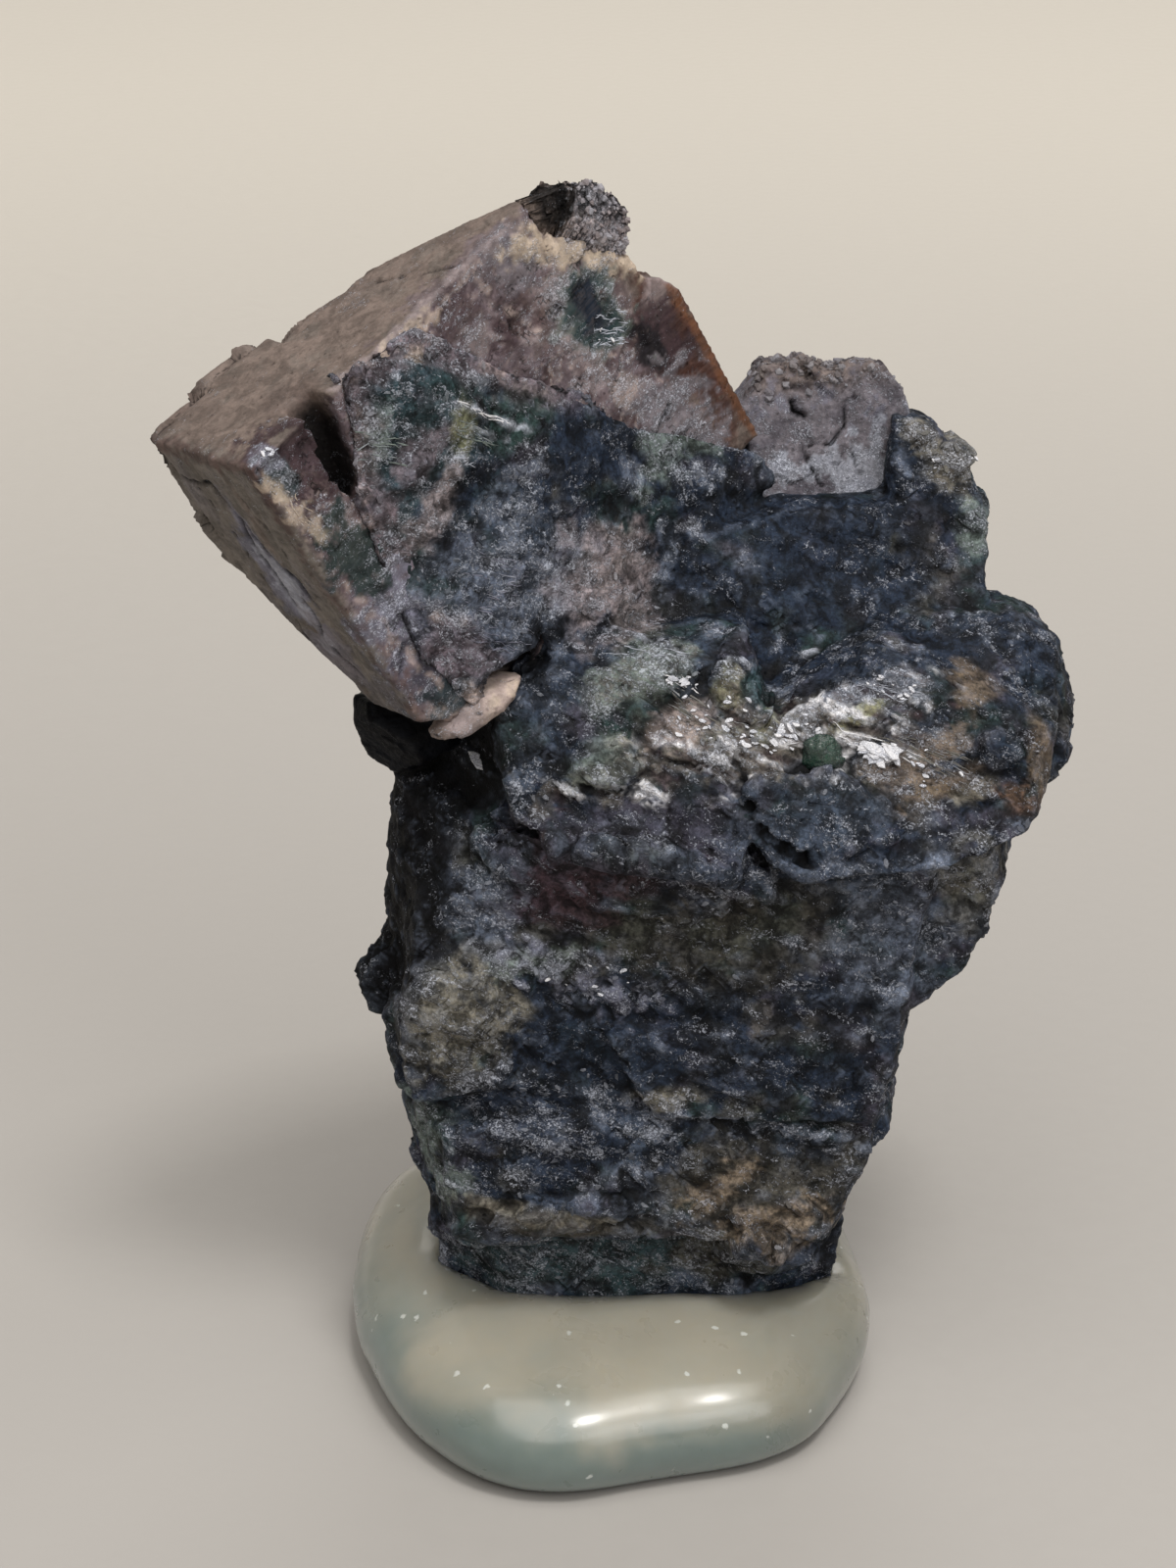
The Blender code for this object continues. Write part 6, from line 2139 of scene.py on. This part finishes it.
@dataclass
class MicaPlates:
    """Larger mica plates and fibres that lie in clusters and catch the light.

    Attributes:
        facing: the direction that most plates face.
        thickness: of one plate, in millimetres.
        axes: the frame of the block that some of them lie on.
        clusters: the clusters of plates.
        rock_bundles: bundles on the rock.
        block_bundles: bundles on the block, in the block's frame.
    """

    facing: Point = (0.096, -0.679, 0.728)
    thickness: float = 0.07
    axes: CrystalAxes = field(default_factory=CrystalAxes)
    clusters: tuple[Cluster, ...] = rows(
        Cluster,
        # Near-white plates: partly the mica's own pale colour, partly a painted highlight of the ledge's brightest
        # reflection.
        ((15.8, -8.1, 44.7), 0.5, 40, 1.5),
        ((4.1, -6.9, 48.6), 0.4, 9, 0.8),
        ((6, -8, 46.8), 1.3, 22, 0.6),
        ((9, -8.5, 45.4), 0.9, 26, 0.9),
        ((11, -7.9, 45.7), 0.7, 10, 0.7),
        ((16.4, -6.2, 47.8), 0.9, 16, 0.5),
        ((21.2, 5.8, 57.6), 1.1, 10, 0.4),
        ((18.6, -8.2, 43.6), 1.2, 10, 0.5),
        ((-1.4, -9.1, 29.9), 1.6, 8, 0.5),
        ((-7.9, -4.4, 42.6), 0.15, 3, 1.3),
        ((-18.5, -14.1, 64.9), 0.4, 7, 0.5),
        ((0.1, 0.8, 67.3), 0.6, 6, 0.35),
    )
    rock_bundles: tuple[Bundle, ...] = rows(
        Bundle,
        (Stone.WHITE_MICA, (12.4, -8, 46.2), (18.8, -8.4, 43.9), 1, 20),
        (Stone.WHITE_MICA, (7.8, -8.8, 45.6), (11.6, -8, 45.5), 0.6, 12),
        (Stone.WHITE_MICA, (3.2, -6.6, 49.3), (5.4, -7.4, 47.7), 0.6, 10),
        (Stone.SILVER, (13.8, -6.1, 48.2), (18.6, -6.3, 47.2), 0.9, 30),
        (Stone.BEIGE, (15.4, -7.6, 45.6), (21.8, -8, 42.9), 1.6, 36),
        (Stone.BEIGE, (2.6, -7.2, 48.2), (8.4, -8.6, 45.5), 1.6, 36),
        (Stone.SILVER, (-0.4, -4.6, 49.6), (4.8, -5.6, 49.6), 0.8, 12),
    )
    block_bundles: tuple[Bundle, ...] = rows(
        Bundle,
        (Stone.WHITE_MICA, (12, -1.1, -5.1), (14.4, -1.1, -9), 0.3, 14),
        (Stone.SAGE, (10.9, -1.1, -5.6), (13.3, -1.1, -9.2), 1.2, 30),
        (Stone.SAGE, (5.2, -1, -2.4), (8.3, -1, -5.9), 1.6, 20),
        (Stone.SILVER, (9.6, -1, -7.6), (11.3, -1, -9.1), 0.6, 8),
        (Stone.SILVER, (22.4, 0, -8.6), (24.6, 0, -10.6), 2.2, 34),
        (Stone.SILVER, (20.8, 0, -4.6), (21.7, 0, -7.9), 1.2, 12),
        # Painted glint: pale fibres at the top left of the block's front.
        (Stone.SILVER, (0.9, 0, 0.4), (2.2, 0, -1.1), 0.9, 9),
        (Stone.CREAM, (0.7, 0, -2), (1.4, 0, -5.8), 1, 12),
        (Stone.LAVENDER, (6.4, -1, -13.6), (9.8, -1, -17.8), 3.6, 30),
        (Stone.LAVENDER, (5, -1, -16.4), (8.4, -1, -20.6), 3, 24),
    )

    def build(self, carriers: Sequence[Object]) -> Object:
        """Lays every cluster and bundle on the nearest carrier.

        Args:
            carriers: the pieces that they lie on.

        Returns:
            All plates and fibres as one piece.
        """
        graph = bpy.context.evaluated_depsgraph_get()
        trees = [BVHTree.FromObject(carrier, graph) for carrier in carriers]
        net = bmesh.new()
        tint = net.verts.layers.float_color.new("tint")
        tone = net.verts.layers.float.new("tone")
        for number, cluster in enumerate(self.clusters):
            for code in self.codes(number, cluster.count):
                made = self.lay_plate(net, cluster, code, trees)
                self.mark(made, tint, tone, Stone.WHITE_MICA, 0.8 + 0.2 * code[2, 2])
        corner = np.array(self.axes.corner)
        moved = [
            (bundle, self.axes.back(np.array([bundle.start, bundle.end])) + corner) for bundle in self.block_bundles
        ]
        still = [(bundle, np.array([bundle.start, bundle.end])) for bundle in self.rock_bundles]
        for number, (bundle, ends) in enumerate(still + moved):
            for code in self.codes(100 + number, bundle.count):
                made = self.lay_fibre(net, bundle, ends, code, trees)
                self.mark(made, tint, tone, bundle.stone, 0.45 + 0.3 * code[2, 2])
        bmesh.ops.recalc_face_normals(net, faces=net.faces)
        piece = in_scene("mica_plates", mesh_of(net, "mica_plates"))
        dress(piece, FlakeFinish("mica_plate", 0.9, 0.25, 0.5).build(), smooth=False)
        return hand_over(piece, "schist")

    @staticmethod
    def codes(number: int, count: int) -> list[Array]:
        """For each plate of a group, 3 x 3 values from -1 to 1."""
        return [three_parts(scramble(np.array([[number, plate, n] for n in range(3)]), 77)) for plate in range(count)]

    @staticmethod
    def mark(verts: list, tint: object, tone: object, stone: Stone, value: float) -> None:
        """Gives new points their colour and tone.

        Args:
            verts: the points.
            tint: the colours' layer.
            tone: the tones' layer.
            stone: the colour.
            value: the tone.
        """
        for vert in verts:
            vert[tint] = (*stone.linear, 1.0)
            vert[tone] = value

    @staticmethod
    def settle(spot: Vector, trees: list[BVHTree]) -> tuple[Vector, Vector]:
        """Finds the nearest place on the carriers.

        Args:
            spot: where to look from, in metres.
            trees: the carriers' surfaces.

        Returns:
            The place, and the normal there.
        """
        found = [tree.find_nearest(spot) for tree in trees]
        place, normal, _, _ = min((f for f in found if f[0] is not None), key=lambda f: f[3])
        return place, normal

    def lay_plate(self, net: Net, cluster: Cluster, code: Array, trees: list[BVHTree]) -> list:
        """Adds one plate to the net.

        Args:
            net: the net of all plates.
            cluster: the plate's cluster.
            code: 3 x 3 values from -1 to 1 that set its place, aim and size.
            trees: the carriers' surfaces.

        Returns:
            The new points.
        """
        stray = code[0] * np.array([1.7, 0.5, 0.9]) * cluster.spread
        place, normal = self.settle(Vector((np.array(cluster.centre) + stray) * MM), trees)
        aim = (1.1 * Vector(self.facing) + 0.6 * normal + 0.25 * Vector(code[1])).normalized()
        turn = aim.to_track_quat("Z", "Y") @ Quaternion((0, 0, 1), 0.9 * code[2, 1] - 0.3)
        size = cluster.widest * (0.25 + 0.75 * code[2, 0] ** 2) * MM / 2
        corners = 7
        rims = []
        for level, share in ((-1.5, 0.95), (0.4, 1.0), (1.0, 0.9)):
            ring = []
            for n in range(corners):
                angle = math.tau * n / corners
                reach = size * share * (0.9 + 0.12 * math.sin(2.9 * n + 5 * code[2, 1]))
                height = level * self.thickness * MM
                flat = Vector((math.cos(angle) * reach * 1.3, math.sin(angle) * reach * 0.6, height))
                ring.append(net.verts.new(place + turn @ flat + normal * 0.05 * MM))
            rims.append(ring)
        return close_rings(net, rims)

    def lay_fibre(self, net: Net, bundle: Bundle, ends: Array, code: Array, trees: list[BVHTree]) -> list:
        """Adds one fibre to the net.

        Args:
            net: the net of all plates.
            bundle: the fibre's bundle.
            ends: the bundle's two ends in millimetres.
            code: 3 x 3 values from -1 to 1 that set its place and length.
            trees: the carriers' surfaces.

        Returns:
            The new points.
        """
        run = ends[1] - ends[0]
        _, normal = self.settle(Vector(ends.mean(0) * MM), trees)
        side = np.cross(run / np.linalg.norm(run), np.array(normal))
        middle = ends.mean(0) + side * code[0, 0] * bundle.width / 2 + run * 0.36 * code[0, 1]
        half = run * (0.1 + 0.07 * code[0, 2]) + side * 0.12 * code[1, 0]
        thick = 0.025 + 0.025 * abs(code[1, 1])
        rims = []
        for step in (-1.0, -0.5, 0.0, 0.5, 1.0):
            place, normal = self.settle(Vector((middle + half * step) * MM), trees)
            share = (1.05 - step**2) * thick * MM
            left = Vector(side) * share
            up = normal * share * 0.8
            rims.append([net.verts.new(place + move) for move in (-left, up + left * 0.2, left, -up * 2)])
        return close_rings(net, rims)


@dataclass
class PuttyPad:
    """The soft pad that the rock is pressed into.

    Attributes:
        voxel: width of the net in millimetres.
    """

    voxel: float = 0.45

    def build(self) -> Object:
        """Smooths, dents and hands over the pad.

        Returns:
            The pad.
        """
        skin = Skin.of_node("putty_pad", self.voxel, Stone.BEIGE)
        floor = ease(skin.points[:, 2], 0.2, 1.4)
        skin.relax(14, 0.5)
        skin.meet(("schist_matrix",), 0.9, 0.3)
        skin.relax(2, 0.4)
        skin.push(floor * (0.35 * noise(skin.points, 9.0, 281) + 0.12 * noise(skin.points, 4.0, 283)))
        skin.points[:, 2] = np.maximum(skin.points[:, 2], 0)
        piece = skin.as_piece("putty_mount", PuttyFinish().build())
        return hand_over(piece, "putty", "putty_pad")


@dataclass
class Studio:
    """A pale floor, soft lights and the camera.

    Attributes:
        target: the point the camera looks at, in millimetres.
        distance: from the camera to that point, in millimetres.
        elevation: degrees above the horizon.
        lens: focal length in millimetres.
        sensor: the sensor's width in millimetres.
        hang: from each light to that point, in millimetres.
        warm: the warm lights' colour.
        cool: the cool light's colour.
        sky: colour of the light from all round.
        glow: strength of that light.
        reach: the floor's radius in metres.
        near: linear colour of the floor below the object.
        far: linear colour of the floor further off.
    """

    target: Point = (-1.3, 0.0, 39.0)
    distance: float = 200.0
    elevation: float = 24.0
    lens: float = 75.0
    sensor: float = 36.0
    hang: float = 2500.0
    warm: Point = (1.0, 0.98, 0.95)
    cool: Point = (0.95, 0.97, 1.0)
    sky: Point = (1.0, 0.95, 0.87)
    glow: float = 0.32
    reach: float = 3.0
    near: Point = (0.365, 0.346, 0.326)
    far: Point = (0.555, 0.518, 0.46)

    def build(self) -> None:
        """Makes the floor, the lights, the surroundings and the camera."""
        self.floor()
        self.light("key", 28, 68, 460, 26.0, self.warm)
        self.light("top", 0, 64, 2900, 56.0, self.warm)
        self.light("fill", 40, 30, 1400, 11.0, self.cool)
        self.light("back", 165, 50, 1200, 11.0, self.warm)
        self.surroundings()
        self.camera()

    def floor(self) -> None:
        """A wide round floor, greyer near the object and warmer further off."""
        net = bmesh.new()
        bmesh.ops.create_circle(net, cap_ends=True, segments=96, radius=self.reach)
        piece = in_scene("floor", mesh_of(net, "floor"))
        canvas = Canvas("floor")
        graph = canvas.graph
        place = canvas.place()
        away = graph.add("ShaderNodeVectorMath", {0: place}, operation="LENGTH").outputs["Value"]
        tone = graph.mix(graph.ease(away, 40, 420), (*self.near, 1), (*self.far, 1))
        grain = graph.noise(place, 0.5, 4, 0.6)
        canvas.finish(tone, graph.ease(grain, 0.3, 0.7, 0.5, 0.6), graph.bump(grain, 0.02))
        dress(piece, canvas.material)

    def toward(self, azimuth: float, elevation: float, distance: float) -> Vector:
        """Finds a place round the object.

        Args:
            azimuth: degrees round from the camera's side towards +X.
            elevation: degrees above the object.
            distance: from the object in millimetres.

        Returns:
            The place in metres.
        """
        a, e = math.radians(azimuth), math.radians(elevation)
        out = Vector((math.sin(a) * math.cos(e), -math.cos(a) * math.cos(e), math.sin(e)))
        return (Vector(self.target) + out * distance) * MM

    def light(self, name: str, azimuth: float, elevation: float, size: float, power: float, tone: Point) -> None:
        """Hangs one square light that faces the object.

        Args:
            name: its name.
            azimuth: degrees round from the camera's side towards +X.
            elevation: degrees above the object.
            size: its side in millimetres.
            power: its strength in watts.
            tone: its colour.
        """
        data = bpy.data.lights.new(name, "AREA")
        data.size, data.energy, data.color = size * MM, power, tone
        lamp = in_scene(name, data)
        lamp.location = self.toward(azimuth, elevation, self.hang)
        lamp.rotation_euler = (lamp.location - Vector(self.target) * MM).to_track_quat("Z", "Y").to_euler()

    def surroundings(self) -> None:
        """Even pale light from all round."""
        world = bpy.data.worlds.new("studio")
        world.use_nodes = True
        background = world.node_tree.nodes["Background"]
        background.inputs["Color"].default_value = (*self.sky, 1)
        background.inputs["Strength"].default_value = self.glow
        bpy.context.scene.world = world
        bpy.context.scene.view_settings.view_transform = "Standard"

    def camera(self) -> None:
        """The camera, level and straight, on the object's front."""
        data = bpy.data.cameras.new("camera")
        data.lens, data.sensor_width = self.lens, self.sensor
        data.clip_start, data.clip_end = 0.01, 20.0
        camera = in_scene("camera", data)
        camera.location = self.toward(0, self.elevation, self.distance)
        camera.rotation_euler = (math.radians(90 - self.elevation), 0, 0)
        bpy.context.scene.camera = camera


def main() -> None:
    """Builds every sub-assembly in order and reports each."""
    logging.basicConfig(level=logging.INFO, format="%(message)s")
    PuttyPad().build()
    rock = SchistRock().build()
    MicaFlakes().build(rock)
    block = PerovskiteBlock().build()
    side = SideCrystal().build()
    SmallBodies().build()
    MicaPlates().build([rock, block, side[0]])
    Studio().build()
    LOG.info("specimen is complete")


if __name__ == "__main__":
    main()
